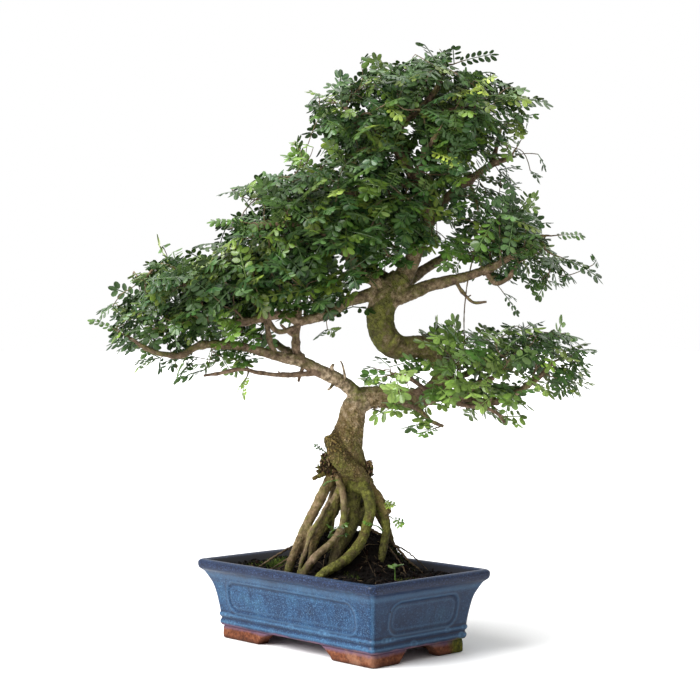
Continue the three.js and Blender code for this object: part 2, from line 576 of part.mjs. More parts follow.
// The twig of a spray and how its leaves stand at the twig's end
function sprayPlan([limbName, place, tone, tip], number) {
  const points = BRANCHES[limbName]
  const root = limbCurve(points).getPoint(place)
  const reach = fromFront(tip)
  const draw = seededDraws(number + 1)
  const away = root.distanceTo(reach)
  const fullLength = END_LEAF.first + LEAF.spacing * (END_LEAF.pairs - 1) + LEAF.leaflet
  const bareTwig = radiusAt(points, place) + TWIG.shortest
  const scale = THREE.MathUtils.clamp((away - bareTwig) / fullLength, LEAF.smallest, LEAF.largest)
  const bare = Math.max(away - scale * fullLength, bareTwig)
  const twig = twigBetween(root, root.clone().lerp(reach, bare / away))
  const end = limbCurve(twig)
  const origin = end.getPoint(1)
  const outward = fromFront([tip[0] - CANOPY_CENTRE, 2 * tip[1], 0]).normalize()
  const light = UP.clone().multiplyScalar(LEAF.upward).add(outward)
  const droop = LEAF.leastDroop + LEAF.moreDroop * draw()
  const side = [-1, 1, 0][number % 3]
  const roll = LEAF.roll * (draw() - 0.5)
  const straight = reach.clone().sub(origin).normalize()
  const heading = straight.clone().addScaledVector(light.projectOnPlane(straight).normalize(), droop)
  const name = `spray_${String(number + 1).padStart(2, '0')}`
  return { name, tone, twig, origin, heading, light, roll, side, scale, droop }
}

// Seedling: a stem that stands in its own hole in the soil, with round leaves at the top

function seedlingStem(grow) {
  const { across, depth, foot, height, radius } = SEEDLING
  const stem = [foot, foot + height / 2, foot + height].map(level => [across, depth, level, radius])
  return solidOf(limb(stem, 5, 2, grow))
}

function buildSeedling() {
  const { across, depth, foot, height, leaf, tilt, leaves } = SEEDLING
  const blades = Array.from({ length: leaves }, (_, number) => {
    const blade = new THREE.CylinderGeometry(leaf, leaf, LEAF.thickness, 6).rotateX(Math.PI / 2)
    blade.scale(1, 0.8, 1).translate(leaf, 0, 0).rotateY(-THREE.MathUtils.degToRad(tilt))
    blade.rotateZ(2 * Math.PI * number / leaves)
    const crown = fromFront([across, depth, foot + height - number])
    return solidOf(blade.translate(...crown.toArray()))
  })
  return joined([seedlingStem(0), ...blades])
}

const pot = buildPot()
const wood = buildWood(0)
const woodSpace = buildWood(GAP)
const plates = { drain_mesh_left: -1, drain_mesh_right: 1 }
const seedling = buildSeedling()
const plateSpaces = Object.values(plates).map(side => meshPlate(side, GAP))
const soil = buildSoil([woodSpace, seedlingStem(GAP), ...plateSpaces])

const plans = SPRAYS.map(sprayPlan)
const sprays = plans.map(({ twig }) =>
  largestBody(solidOf(limb(twig, TWIG.sides, TWIG.steps)).subtract(woodSpace)))
// Leaves that would meet another piece are turned about their twig, and then bent aside
const TURNS = [0, 0.4, -0.4, 0.8, -0.8, 1.3, -1.3]
const BENDS = [0, 0.35, -0.35, 0.7, -0.7]
plans.forEach(({ origin, heading, light, roll, side, scale, droop, name }, number) => {
  const others = [pot, soil, wood, seedling, ...sprays.filter((_, other) => other !== number)]
  const stances = BENDS.flatMap(bend =>
    TURNS.map(turn => [heading.clone().applyAxisAngle(UP, bend), roll + turn]))
  for (const [direction, turned] of stances) {
    const leaves = placedLeaves(origin, direction, light, turned, side, scale, droop)
    if (!isClear(leaves, others)) continue
    sprays[number] = sprays[number].add(leaves)
    return
  }
  throw new Error(`no room for the leaves of ${name}`)
})

const bonsai = new THREE.Group()
bonsai.add(meshOf('pot', pot, 0x4a6f9c, 0.3))
for (const [name, side] of Object.entries(plates)) bonsai.add(meshOf(name, meshPlate(side), 0x1c1e1c, 0.7))
bonsai.add(meshOf('soil', soil, 0x2a211b, 0.95))
bonsai.add(meshOf('tree', wood, 0x7c6f4e, 0.8))
bonsai.add(meshOf('seedling', seedling, 0x5c8f3c, 0.5))
plans.forEach((plan, number) => bonsai.add(meshOf(plan.name, sprays[number], TONES[plan.tone], 0.45)))

export default bonsai
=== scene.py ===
"""A Chinese pepper bonsai with exposed roots in a blue glazed pot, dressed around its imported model.

Tables are in millimetres and meshes in metres. +Z is up, and X runs along the pot's long side."""
import itertools
import math

import bpy
import numpy as np
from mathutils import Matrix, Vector, kdtree, noise


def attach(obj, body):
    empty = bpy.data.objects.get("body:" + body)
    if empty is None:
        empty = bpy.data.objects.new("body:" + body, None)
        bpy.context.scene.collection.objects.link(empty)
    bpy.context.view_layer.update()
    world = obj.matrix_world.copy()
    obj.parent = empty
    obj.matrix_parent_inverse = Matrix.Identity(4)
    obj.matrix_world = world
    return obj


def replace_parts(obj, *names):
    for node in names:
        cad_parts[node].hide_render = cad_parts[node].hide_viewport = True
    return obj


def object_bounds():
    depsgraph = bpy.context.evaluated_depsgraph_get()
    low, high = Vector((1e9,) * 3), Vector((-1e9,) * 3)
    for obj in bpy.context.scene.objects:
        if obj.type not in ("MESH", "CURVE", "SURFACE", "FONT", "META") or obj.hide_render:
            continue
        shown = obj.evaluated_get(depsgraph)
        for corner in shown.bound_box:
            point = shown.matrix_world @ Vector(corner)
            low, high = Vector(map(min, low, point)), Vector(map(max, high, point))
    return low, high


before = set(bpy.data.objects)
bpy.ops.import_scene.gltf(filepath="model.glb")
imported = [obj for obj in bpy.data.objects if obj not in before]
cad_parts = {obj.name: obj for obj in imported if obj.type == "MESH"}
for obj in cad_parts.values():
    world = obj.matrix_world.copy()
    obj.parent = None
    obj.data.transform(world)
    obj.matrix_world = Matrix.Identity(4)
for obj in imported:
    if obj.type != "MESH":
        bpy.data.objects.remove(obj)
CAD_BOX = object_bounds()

MM = 0.001

# The camera looks level at the tree's front, which is turned from the pot's long side
FRONT_TURN = math.radians(46.7)
FRONT_COS, FRONT_SIN = math.cos(FRONT_TURN), math.sin(FRONT_TURN)
CAMERA_AWAY, CAMERA_HEIGHT, CAMERA_ACROSS = 1850, 350, 11.4
CAMERA_LENS, CAMERA_SENSOR = 80, 36
# Name, across, depth and height it shines from in millimetres, how wide it looks in degrees, and strength
LIGHTS = [
    ("key_softbox", -2000, -900, 1900, 45, 5.5),
    ("fill_softbox", -2000, -1900, 500, 70, 1.6),
    ("top_softbox", 300, 300, 2200, 70, 1.7),
]
ROOM_LIGHT = 0.29

# Pot
HALF_LONG, HALF_SHORT = 132, 74.5
CORNER_RADIUS = 5
FLOOR_BOTTOM, FLOOR_TOP, FLOOR_INSET = 15.7, 26, 7
DRAIN_RADIUS, DRAIN_FROM_CENTRE = 9, 70
# Its outer side and lip, then down its inner side: (height, distance outside the feet's footprint)
POT_PROFILE = [
    (15.6, -8), (15.6, -1), (16, 0.6), (17.2, 1.9), (19, 2.7), (20.6, 2.9), (22.4, 2.4), (24.2, 1.6),
    (25.6, 1.7), (27.2, 2.9), (28.8, 3.6), (30.4, 3.5), (32, 2.8), (34, 2.9), (44, 4.4), (54, 6.2), (62, 8),
    (68, 10), (73, 12.4), (77, 14.5), (80, 16.2), (82.4, 18), (84, 20), (85.4, 21.5), (87.6, 22.5),
    (90.6, 22.9), (93.2, 22.6), (95, 21.3), (96, 19.3), (96.1, 17.4), (95.7, 15.6), (94.6, 13.9),
    (92.5, 12.2), (88, 9), (80, 4), (70, 0.5), (60, -1.6), (48, -4.6), (36, -7), (26, -9), (18, -9.4),
]
# Sunken panels on the four sides, and the heights between which their edges show
PANEL = {
    "bottom": 35, "height": 36, "bottomOut": 2, "topOut": 8.8, "corner": 14, "longHalf": 111, "shortHalf": 54,
}
PANEL_SHOWS = 30, 76
# Cut-outs between the feet as (height, half width), and how wide, high and round the feet are
LONG_CUT = [(0, 65), (4, 63), (8, 57.5), (12, 52), (14.5, 46.5), (16.4, 42)]
SHORT_CUT = [(0, 32), (4, 30), (8, 26.5), (12, 23), (14.5, 19.5), (16.4, 16)]
FOOT_WIDTH, FOOT_TOP, FOOT_ROUND, FOOT_GRAIN = 17, 17.4, 5.5, 1.25
# Points round a corner and along the sides, and rows of the wall, whose hidden inner side has half as many
CORNER_STEPS, LONG_STEPS, SHORT_STEPS = 9, 150, 86
GLAZE_ROW, ROWS_PAST_LIP = 0.85, 8
# Where glaze is thin on edges and pooled in hollows, all round: (height, half width, share)
RIDGES = [20.6, 29.8]
THIN_GLAZE = [(RIDGES[0], 1.2, 0.4), (RIDGES[1], 1.2, 0.4), (78, 3, 0.25), (95.4, 0.8, 0.8)]
POOLED_GLAZE = [(87, 6, 0.35), (17, 1.3, 0.7), (24.9, 1.3, 0.7), (33.2, 1.3, 0.7)]
# Small rings that the firing left on the ridges, and how far apart the wall's points stand
RING_MARKS, RING_RADIUS, POINT_SPACING = 46, 2.4, 1.05

# Soil, as in the part
SOIL = {"edge": 86, "mound": 45, "moundX": -2, "moundY": 15, "spread": 62, "ripple": 1.6}
SOIL_TOP_OUT, SOIL_BOTTOM, SOIL_BOTTOM_OUT, SOIL_RINGS = 7.6, 62, -1.5, 60
SOIL_REACH = HALF_LONG + 4, HALF_SHORT + 4
CRUMBS, STRAWS = 4200, 120
# A crumb's colour is laid over the dark soil's, so it has to be this much brighter
CRUMB_LIGHT = 4.5
CRUMB_COLOURS = ("4a382c", "5a4436", "34281f", "7a4630", "2c241c", "8a7660")
# Mossy spots on the soil: (x, y, half long, half wide, share), and their shoots for each square millimetre
MOSS_BEDS = [
    (-96, 38, 24, 16, 1), (-70, 52, 26, 14, 0.8), (-52, 12, 16, 12, 0.5), (22, -28, 22, 12, 0.5),
    (112, 2, 9, 20, 0.5), (60, -36, 16, 9, 0.4), (20, 62, 40, 12, 0.6), (-112, -30, 12, 22, 0.4),
    (-84, -32, 24, 18, 1.2), (-58, -26, 18, 14, 1), (-100, 0, 16, 22, 0.8), (46, 58, 26, 12, 0.5),
]
MOSS_SHOOTS = 2.2
MOSS_COLOURS = ("38481a", "4c5c20", "68742e", "2a3614")
# Tufts of taller green in the moss: (x, y, reach, shoots)
WEEDS = [(-84, -30, 20, 170), (-62, -34, 14, 90), (-96, -8, 14, 90), (-70, -8, 16, 100)]
WEED_COLOURS = ("42581e", "586e28", "708238", "2c3e18")
# Wiry roots that arch down to the soil: radius, then (across, depth, height)
WIRY_ROOTS = [
    (1.9, [(36, -14, 138), (50, -18, 131), (60, -20, 124), (72, -22, 112), (82, -24, 101), (92, -24, 93),
        (98, -24, 86)]),
    (1.3, [(48, -16, 128), (62, -22, 112), (72, -30, 98), (78, -36, 86)]),
    (1.1, [(60, -14, 122), (78, -8, 112), (92, -4, 100), (104, -2, 88)]),
    (1.7, [(-30, 4, 126), (-48, 8, 119), (-62, 10, 113), (-78, 12, 103), (-92, 12, 94), (-104, 10, 86)]),
    (1.3, [(-36, -6, 114), (-56, -8, 106), (-74, -12, 96), (-90, -14, 86)]),
    (1.2, [(-44, 2, 112), (-64, 18, 110), (-82, 26, 100), (-98, 28, 88)]),
    (1.1, [(-50, -8, 104), (-66, -20, 97), (-80, -28, 87)]),
]
# Limbs: (across, depth away from the viewer, height, radius), from where each grows to its tip
TRUNK = [
    (16, 0, 174, 11), (21, 0, 188, 15), (17, 0, 205, 17.5), (8, 0, 222, 20.5), (5, 0, 236, 21.5),
    (9, 0, 250, 19), (13, 0, 264, 16), (15, 0, 279, 15), (26, 0, 291, 15), (45, -1, 294, 13),
    (71, -3, 292, 12.5), (94, -5, 293, 12.5), (113, -5, 303, 12.5), (123, -3, 322, 12.5),
    (116, 0, 343, 12.5), (95, 0, 354, 13), (73, 0, 352, 14.5), (57, 0, 360, 16.5), (48, 0, 379, 16.5),
    (49, 0, 400, 16.5), (59, 2, 419, 18), (73, 3, 436, 15),
]
FOLD = [(-11, -6, 247, 9), (-7, -16, 232, 10), (3, -19, 216, 10.5), (20, -15, 203, 10.5), (33, -6, 190, 9)]
ROOTS = {
    "leftOuter": [(-8, -4, 204, 6.5), (-17, -8, 187, 6.3), (-31, -16, 159, 6), (-41, -22, 140, 5.8),
        (-51, -30, 118, 5.4), (-59, -34, 98, 5), (-62, -36, 82, 4)],
    "leftInner": [(4, -6, 198, 5.5), (-9, -14, 167, 5.2), (-18, -20, 150, 5), (-27, -28, 134, 5),
        (-32, -34, 117, 4.6), (-36, -40, 92, 4)],
    "leftBehind": [(11, 4, 188, 5), (-8, 16, 154, 4.8), (-19, 24, 133, 4.5), (-30, 32, 113, 4),
        (-37, 36, 93, 3.5)],
    "thinFront": [(0, -8, 190, 2.5), (-12, -14, 170, 2.5), (-24, -26, 152, 2.6), (-33, -36, 137, 2.5),
        (-40, -46, 118, 2.6), (-45, -52, 103, 2.6), (-49, -56, 85, 2.2)],
    "paleFront": [(-5, -12, 203, 4), (3, -20, 181, 3.8), (4, -26, 160, 3.8), (1, -36, 141, 4),
        (-9, -46, 128, 4.2), (-26, -56, 114, 4.6), (-38, -60, 100, 5), (-46, -62, 84, 3.6)],
    "core": [(15, -2, 188, 9.5), (16, -8, 165, 9), (14, -18, 147, 8.6), (6, -30, 132, 8.2),
        (-3, -42, 117, 7.6), (-9, -50, 96, 6)],
    "crossing": [(35, -8, 170, 4), (28, -12, 159, 3.8), (18, -20, 148, 3.7), (8, -30, 138, 3.8),
        (-4, -40, 127, 4)],
    "bigFront": [(14, -10, 191, 7.5), (30, -18, 184, 6.8), (35, -24, 166, 6.4), (31, -32, 144, 6.2),
        (22, -44, 124, 6), (4, -58, 107, 6), (-14, -68, 97, 5.6), (-28, -76, 87, 4.6)],
    "rightStub": [(26, -4, 193, 8), (39, -8, 181, 7), (48, -14, 168, 6.6), (56, -20, 157, 5.2)],
    "rightHanging": [(37, -6, 172, 6), (48, -14, 160, 5.6), (54, -20, 143, 5.2), (52, -26, 126, 5),
        (48, -32, 108, 4.6), (44, -36, 90, 3.6)],
    "leftStub": [(-9, -4, 211, 4), (-22, -10, 203, 3.2), (-33, -16, 198, 2.6)],
    "behindOuter": [(4, 4, 206, 4), (-10, 8, 194, 4), (-25, 18, 172, 3.8), (-38, 30, 145, 3.6),
        (-51, 42, 115, 3.4), (-58, 48, 84, 3)],
    "backLeft": [(11, 12, 192, 7), (-1, 28, 169, 6), (-13, 42, 143, 5.4), (-23, 54, 115, 5),
        (-29, 62, 84, 4.2)],
    "backMiddle": [(23, 12, 187, 7), (27, 28, 161, 6.2), (31, 42, 133, 5.6), (33, 52, 110, 5),
        (35, 58, 86, 4)],
    "backRight": [(30, 4, 186, 6), (43, 14, 160, 5.4), (55, 24, 135, 5), (63, 30, 110, 4.6),
        (68, 34, 86, 3.6)],
}
# Thin roots between the others
THIN_ROOTS = [
    [(-14, -20, 172, 2.6), (-23, -26, 154, 2.6), (-35, -28, 136, 2.5), (-44, -28, 108, 2.3),
     (-48, -28, 84, 2.2)],
    [(-5, 2, 200, 3.4), (-11, 4, 176, 3.2), (-19, 6, 154, 3), (-28, 6, 130, 2.8), (-36, 6, 104, 2.6)],
    [(14, 10, 180, 3.4), (13, 14, 150, 3), (10, 16, 112, 2.8)],
    [(24, -16, 160, 1.5), (25, -18, 138, 1.3), (23, -18, 108, 1.2)],
    [(-2, -14, 176, 2.2), (-8, -16, 150, 2), (-12, -18, 118, 1.8), (-18, -22, 92, 1.7)],
]
BRANCHES = {
    "leader": [(71, 4, 431, 13), (84, 4, 454, 10), (94, 2, 479, 8.2), (104, 0, 497, 7.4), (102, -2, 522, 7),
        (95, -3, 542, 6.4), (81, -4, 566, 6), (68, -3, 590, 5.4), (73, -1, 619, 5), (93, 0, 635, 4.4),
        (114, 1, 659, 3.6), (124, 1, 688, 2.4)],
    "crownUp": [(73, -1, 616, 4), (73, 0, 638, 3.2), (71, 2, 669, 2.2)],
    "crownLeft": [(71, -4, 592, 4), (49, -8, 603, 3.4), (26, -10, 620, 2.8), (5, -8, 637, 1.9)],
    "crownBack": [(76, -2, 576, 4.4), (84, 28, 596, 3.8), (97, 52, 619, 3), (108, 70, 636, 2)],
    "crownFront": [(87, -6, 554, 4), (96, -30, 575, 3.4), (106, -52, 590, 2.6), (112, -66, 600, 1.8)],
    "crownRight": [(93, 0, 635, 3.8), (121, 4, 634, 3), (150, 4, 641, 2.6), (178, 2, 648, 2)],
    "rightArm": [(103, 0, 512, 6), (119, 4, 524, 5), (137, 5, 541, 4.8), (152, 3, 551, 4.6),
        (171, 0, 565, 4.2), (186, -3, 573, 3.6), (203, -6, 578, 2.6)],
    "armUp": [(176, 0, 566, 3), (186, 10, 589, 2.6), (192, 22, 615, 1.8)],
    "right": [(68, 0, 414, 11), (85, -3, 418, 8.5), (101, -6, 425, 7.4), (120, -9, 430, 7),
        (142, -13, 435, 6.2), (165, -17, 442, 5.2), (184, -21, 450, 4.4), (202, -24, 460, 3.6),
        (223, -24, 474, 2.6), (239, -22, 484, 1.8)],
    "rightLow": [(172, -18, 442, 3.6), (182, -22, 428, 3), (194, -26, 432, 2.4), (206, -30, 448, 2)],
    "rightTwig": [(135, -12, 433, 2.6), (144, -18, 418, 2.1), (156, -24, 406, 1.7), (171, -30, 407, 1.3)],
    "rightBack": [(76, 8, 429, 8), (101, 34, 447, 6), (129, 58, 465, 4.6), (158, 76, 481, 3.4),
        (188, 88, 492, 2.2)],
    "left": [(45, -2, 419, 9), (26, -5, 413, 7.4), (9, -9, 408, 6.8), (-12, -13, 394, 6.2),
        (-33, -17, 387, 6), (-50, -20, 384, 5.6), (-66, -23, 391, 4.8), (-87, -27, 389, 4.8),
        (-111, -32, 383, 4.2), (-138, -38, 384, 3.4), (-167, -44, 389, 2.4)],
    "leftUp": [(47, -4, 428, 8), (26, -14, 442, 6.2), (6, -24, 465, 5), (-12, -32, 483, 4.4),
        (-35, -40, 494, 3.8), (-64, -46, 496, 3), (-95, -48, 496, 2)],
    "leftBack": [(57, 10, 434, 8), (31, 36, 449, 6.4), (4, 58, 470, 5.2), (-28, 74, 486, 4),
        (-63, 84, 497, 2.8), (-91, 88, 502, 1.8)],
    "midLeft": [(87, -4, 547, 4.6), (63, -14, 544, 4), (35, -24, 535, 3.4), (9, -30, 533, 2.8),
        (-14, -32, 539, 1.8)],
    "lowLeft": [(26, -2, 288, 10), (11, -6, 305, 8.6), (-5, -10, 316, 8), (-26, -14, 326, 7.6),
        (-45, -18, 336, 7.2), (-66, -22, 341, 6.4), (-85, -26, 346, 5.6), (-106, -30, 352, 5),
        (-136, -36, 356, 4.6), (-163, -40, 356, 4.2), (-184, -44, 344, 3.8), (-206, -48, 345, 3.2),
        (-225, -50, 352, 2.6), (-243, -52, 364, 1.8)],
    "post": [(-43, -18, 334, 5), (-51, -18, 348, 4.6), (-53, -18, 366, 4.4), (-50, -19, 383, 4.6),
        (-49, -20, 402, 3.6), (-50, -20, 421, 2.4)],
    "link": [(-75, -24, 343, 3.8), (-82, -26, 359, 3.2), (-87, -27, 384, 2.8)],
    "loop": [(-87, -27, 388, 3.4), (-74, -26, 372, 3), (-59, -22, 374, 3), (-51, -19, 377, 3)],
    "lowPale": [(-26, -14, 324, 4), (-47, -22, 321, 3), (-68, -28, 321, 2.6), (-91, -36, 323, 2.4),
        (-116, -44, 328, 2.3), (-139, -50, 323, 2), (-158, -54, 320, 1.5)],
    "lowBack": [(-41, -14, 333, 5.4), (-65, 14, 350, 4.6), (-95, 38, 365, 4), (-131, 54, 377, 3.4),
        (-168, 62, 387, 2.6), (-203, 66, 394, 1.8)],
    "lowRight": [(106, -6, 295, 7), (127, -10, 296, 5.2), (145, -13, 300, 4.4), (163, -16, 310, 3.6),
        (181, -18, 318, 2.4)],
    "lowOut": [(132, -9, 296, 4.6), (156, -10, 290, 4.2), (179, -10, 288, 4), (201, -8, 296, 3.8),
        (220, -4, 307, 3.5), (239, 0, 320, 3.1), (254, 3, 336, 2.4)],
    "lowHang": [(127, -10, 293, 3.2), (146, -18, 285, 2.7), (166, -26, 283, 2.3), (183, -34, 276, 2),
        (191, -38, 265, 1.5)],
    "lowFront": [(85, -10, 286, 4), (94, -22, 278, 3), (105, -34, 268, 2.4), (119, -44, 262, 1.6)],
    "lowBackRight": [(114, 0, 300, 5), (132, 22, 311, 4), (155, 42, 321, 3), (181, 58, 330, 2)],
    "paleTwig": [(106, -12, 298, 3), (86, -26, 314, 2.4), (65, -40, 323, 1.5)],
}
# Stubs of cut twigs, and a thin dry shoot that hangs from the right arm
STUBS = [
    [(-9, -10, 322, 3.4), (-10, -18, 330, 2.2), (-8, -20, 333, 1.8)],
    [(7, -10, 308, 2), (5, -18, 322, 1.5), (2, -22, 334, 1.1), (0, -22, 337, 1)],
    [(12, -6, 302, 3), (8, -14, 311, 2.2), (7, -18, 314, 1.7)],
    [(-7, -10, 312, 2.4), (-12, -16, 305, 1.6), (-15, -17, 303, 1.2)],
    [(-44, -18, 330, 2.6), (-48, -22, 318, 2), (-49, -24, 313, 1.4)],
    [(-53, -18, 366, 3), (-62, -22, 372, 2.2), (-70, -24, 380, 1.4)],
    [(122, 0, 324, 5), (119, -6, 338, 4), (117, -8, 346, 3)],
    [(60, -8, 352, 8), (66, -18, 362, 5), (68, -20, 368, 3.4)],
    [(152, 3, 551, 2.2), (160, -6, 532, 1.3), (163, -12, 503, 1), (158, -14, 466, 0.9),
     (150, -16, 430, 0.8), (146, -16, 392, 0.7), (146, -18, 356, 0.6)],
]
# Limbs with a radius under STOUT stay apart from the wood that is melted together in steps of GRAIN
STOUT, GRAIN = 4.6, 1.4
# Roots and limbs whose bark is pale, with how much of it, and roots with more moss
PALE_ROOTS = {"paleFront": 1, "thinFront": 1, "leftOuter": 0.5}
PALE_LIMBS = ("lowPale", "paleTwig", "lowHang")
MOSSY_ROOTS = ("bigFront", "rightHanging", "core", "crossing")
# How high the fold lies, and its crease: distance outside the fold, half width and depth
FOLD_HEIGHT, FOLD_CREASE = 232, (2.6, 1.7, 2.8)
# Mats of root fibre: (across, depth, height, half width, half height, pieces)
MATS = [
    (-17, -8, 218, 7, 11, 190), (-22, -8, 208, 6, 6, 110), (-10, -10, 204, 7, 8, 120),
    (34, -8, 210, 4.5, 11, 150), (33, -8, 196, 4, 7, 70), (2, 4, 186, 10, 12, 120),
]
MAT_COLOURS = ("3a2a1e", "54402c", "2a2216", "6a5636", "44481e", "241a14", "7c6a4e")

# The part's own sprays: limb, place along it, tone, and the end leaf's tip as (across, depth, height)
SPRAYS = [
    ("leader", 1, "deep", (187, -8, 698)), ("leader", 0.9, "deep", (103, 30, 710)),
    ("crownUp", 0.5, "deep", (45, 64, 668)), ("crownLeft", 1, "young", (-37, -8, 660)),
    ("crownLeft", 0.9, "deep", (-38, 52, 610)), ("crownLeft", 0.6, "deep", (-5, -56, 592)),
    ("crownUp", 0.4, "deep", (59, -78, 648)), ("crownBack", 1, "deep", (119, 104, 699)),
    ("leader", 0.82, "young", (159, -62, 651)), ("crownRight", 1, "deep", (253, 2, 643)),
    ("crownRight", 0.75, "deep", (200, 78, 668)), ("crownRight", 0.5, "deep", (180, -82, 602)),
    ("rightArm", 1, "deep", (222, -18, 622)), ("rightArm", 0.45, "deep", (120, 52, 606)),
    ("armUp", 1, "deep", (222, 78, 628)), ("rightArm", 0.5, "deep", (172, -86, 563)),
    ("crownFront", 1, "deep", (119, -112, 607)), ("midLeft", 1, "green", (-56, -34, 587)),
    ("midLeft", 0.7, "deep", (-11, -90, 556)), ("leftUp", 1, "green", (-153, -50, 498)),
    ("leftUp", 0.75, "deep", (-94, -76, 544)), ("leftBack", 1, "deep", (-150, 40, 505)),
    ("leftBack", 0.75, "deep", (-80, 70, 566)), ("lowLeft", 1, "deep", (-289, -52, 388)),
    ("left", 0.72, "green", (-150, 36, 448)), ("lowBack", 0.8, "deep", (-200, 2, 440)),
    ("left", 0.95, "young", (-217, -40, 480)), ("left", 0.8, "deep", (-168, -110, 428)),
    ("left", 0.45, "deep", (-48, 44, 462)), ("lowLeft", 0.72, "deep", (-187, -80, 320)),
    ("lowPale", 0.6, "young", (-112, -78, 296)), ("lowBack", 1, "deep", (-285, 66, 425)),
    ("lowBack", 0.75, "deep", (-215, 104, 461)), ("post", 1, "deep", (-91, -40, 457)),
    ("crownBack", 0.35, "deep", (8, 62, 588)), ("leader", 0.05, "deep", (25, -92, 483)),
    ("leftBack", 0.3, "deep", (18, 32, 532)), ("leader", 0.2, "deep", (117, 106, 518)),
    ("right", 1, "deep", (284, -14, 485)), ("right", 0.9, "deep", (303, -50, 430)),
    ("right", 0.7, "deep", (172, -92, 495)), ("lowBackRight", 0.35, "green", (132, 34, 386)),
    ("rightBack", 0.6, "deep", (208, 22, 500)), ("rightBack", 1, "deep", (252, 98, 512)),
    ("paleTwig", 1, "light", (27, -70, 311)), ("lowFront", 1, "light", (88, -84, 254)),
    ("lowRight", 0.5, "light", (126, -66, 387)), ("lowHang", 0.75, "light", (206, -78, 262)),
    ("lowOut", 1, "deep", (300, -8, 348)), ("lowOut", 0.86, "deep", (276, -30, 306)),
    ("lowOut", 0.72, "green", (267, 8, 391)), ("lowBackRight", 1, "deep", (225, 102, 368)),
]
# Their leaves and twigs
LEAF = {
    "spacing": 13.5, "leaflet": 16, "width": 10, "lean": 62, "turn": 78, "smallest": 0.68, "largest": 1.06,
    "leastDroop": 0.1, "moreDroop": 0.15, "roll": 1.2, "upward": 0.7,
}
END_LEAF = {"first": 20, "pairs": 3}
SIDE_LEAF = {"from": 2.4, "first": 9, "pairs": 2}
TWIG = {"rootRadius": 1.6, "tipRadius": 0.92, "shortest": 7, "arch": 0.05, "climbFirst": 0.14}
STALK_RADII = [0.7, 0.6]
TURNS = [0, 0.4, -0.4, 0.8, -0.8, 1.3, -1.3]
BENDS = [0, 0.35, -0.35, 0.7, -0.7]
CANOPY_CENTRE = 40
# The same leaves with leaflets as small and many as the real ones, in the same stance and length
FINE_LEAF = {"spacing": 8, "leaflet": 10.8, "width": 6.6}
FINE_END = {"first": 12, "pairs": 6}
FINE_SIDE = {"first": 8, "pairs": 3}
LEAFLET_RIM = [
    (0, 0), (0.2, 0.36), (0.55, 0.5), (0.88, 0.32), (1, 0), (0.88, -0.32), (0.55, -0.5), (0.2, -0.36),
]
LEAFLET_MIDDLE = (0.48, 0)
LEAFLET_STALK, RIB_HALF_WIDTH, RIB_STEPS = 0.8, 0.7, 4
# Leaves that grow from tufts, per tone: leaflet length and width, first pair's distance, pairs at most
GROWN = {
    "deep": (9.4, 5.9, 7.5, 5), "green": (9.2, 5.7, 7.5, 5),
    "light": (11.4, 7.4, 10, 4), "young": (8, 4.8, 6, 5),
}
# From one pair of leaflets to the next, in leaflet widths, how far leaflets lean, and shapes of each leaf
LEAFLET_STEP, GROWN_LEAN, VARIANTS = 1.32, math.radians(64), 3
LEAF_COLOURS = {
    "deep": ("253e18", "2c4a1a", "3c581e", "506822", "24441f", "64752c", "325226", "425e32"),
    "green": ("406222", "4c7024", "5a7c2a", "688632"),
    "light": ("4c6a2a", "5c7830", "6a843c", "42662a", "768f46", "80984c"),
    "young": ("6a842c", "809434", "90a23e", "5e7a28"),
}
YOUNG_SHARE = 0.015
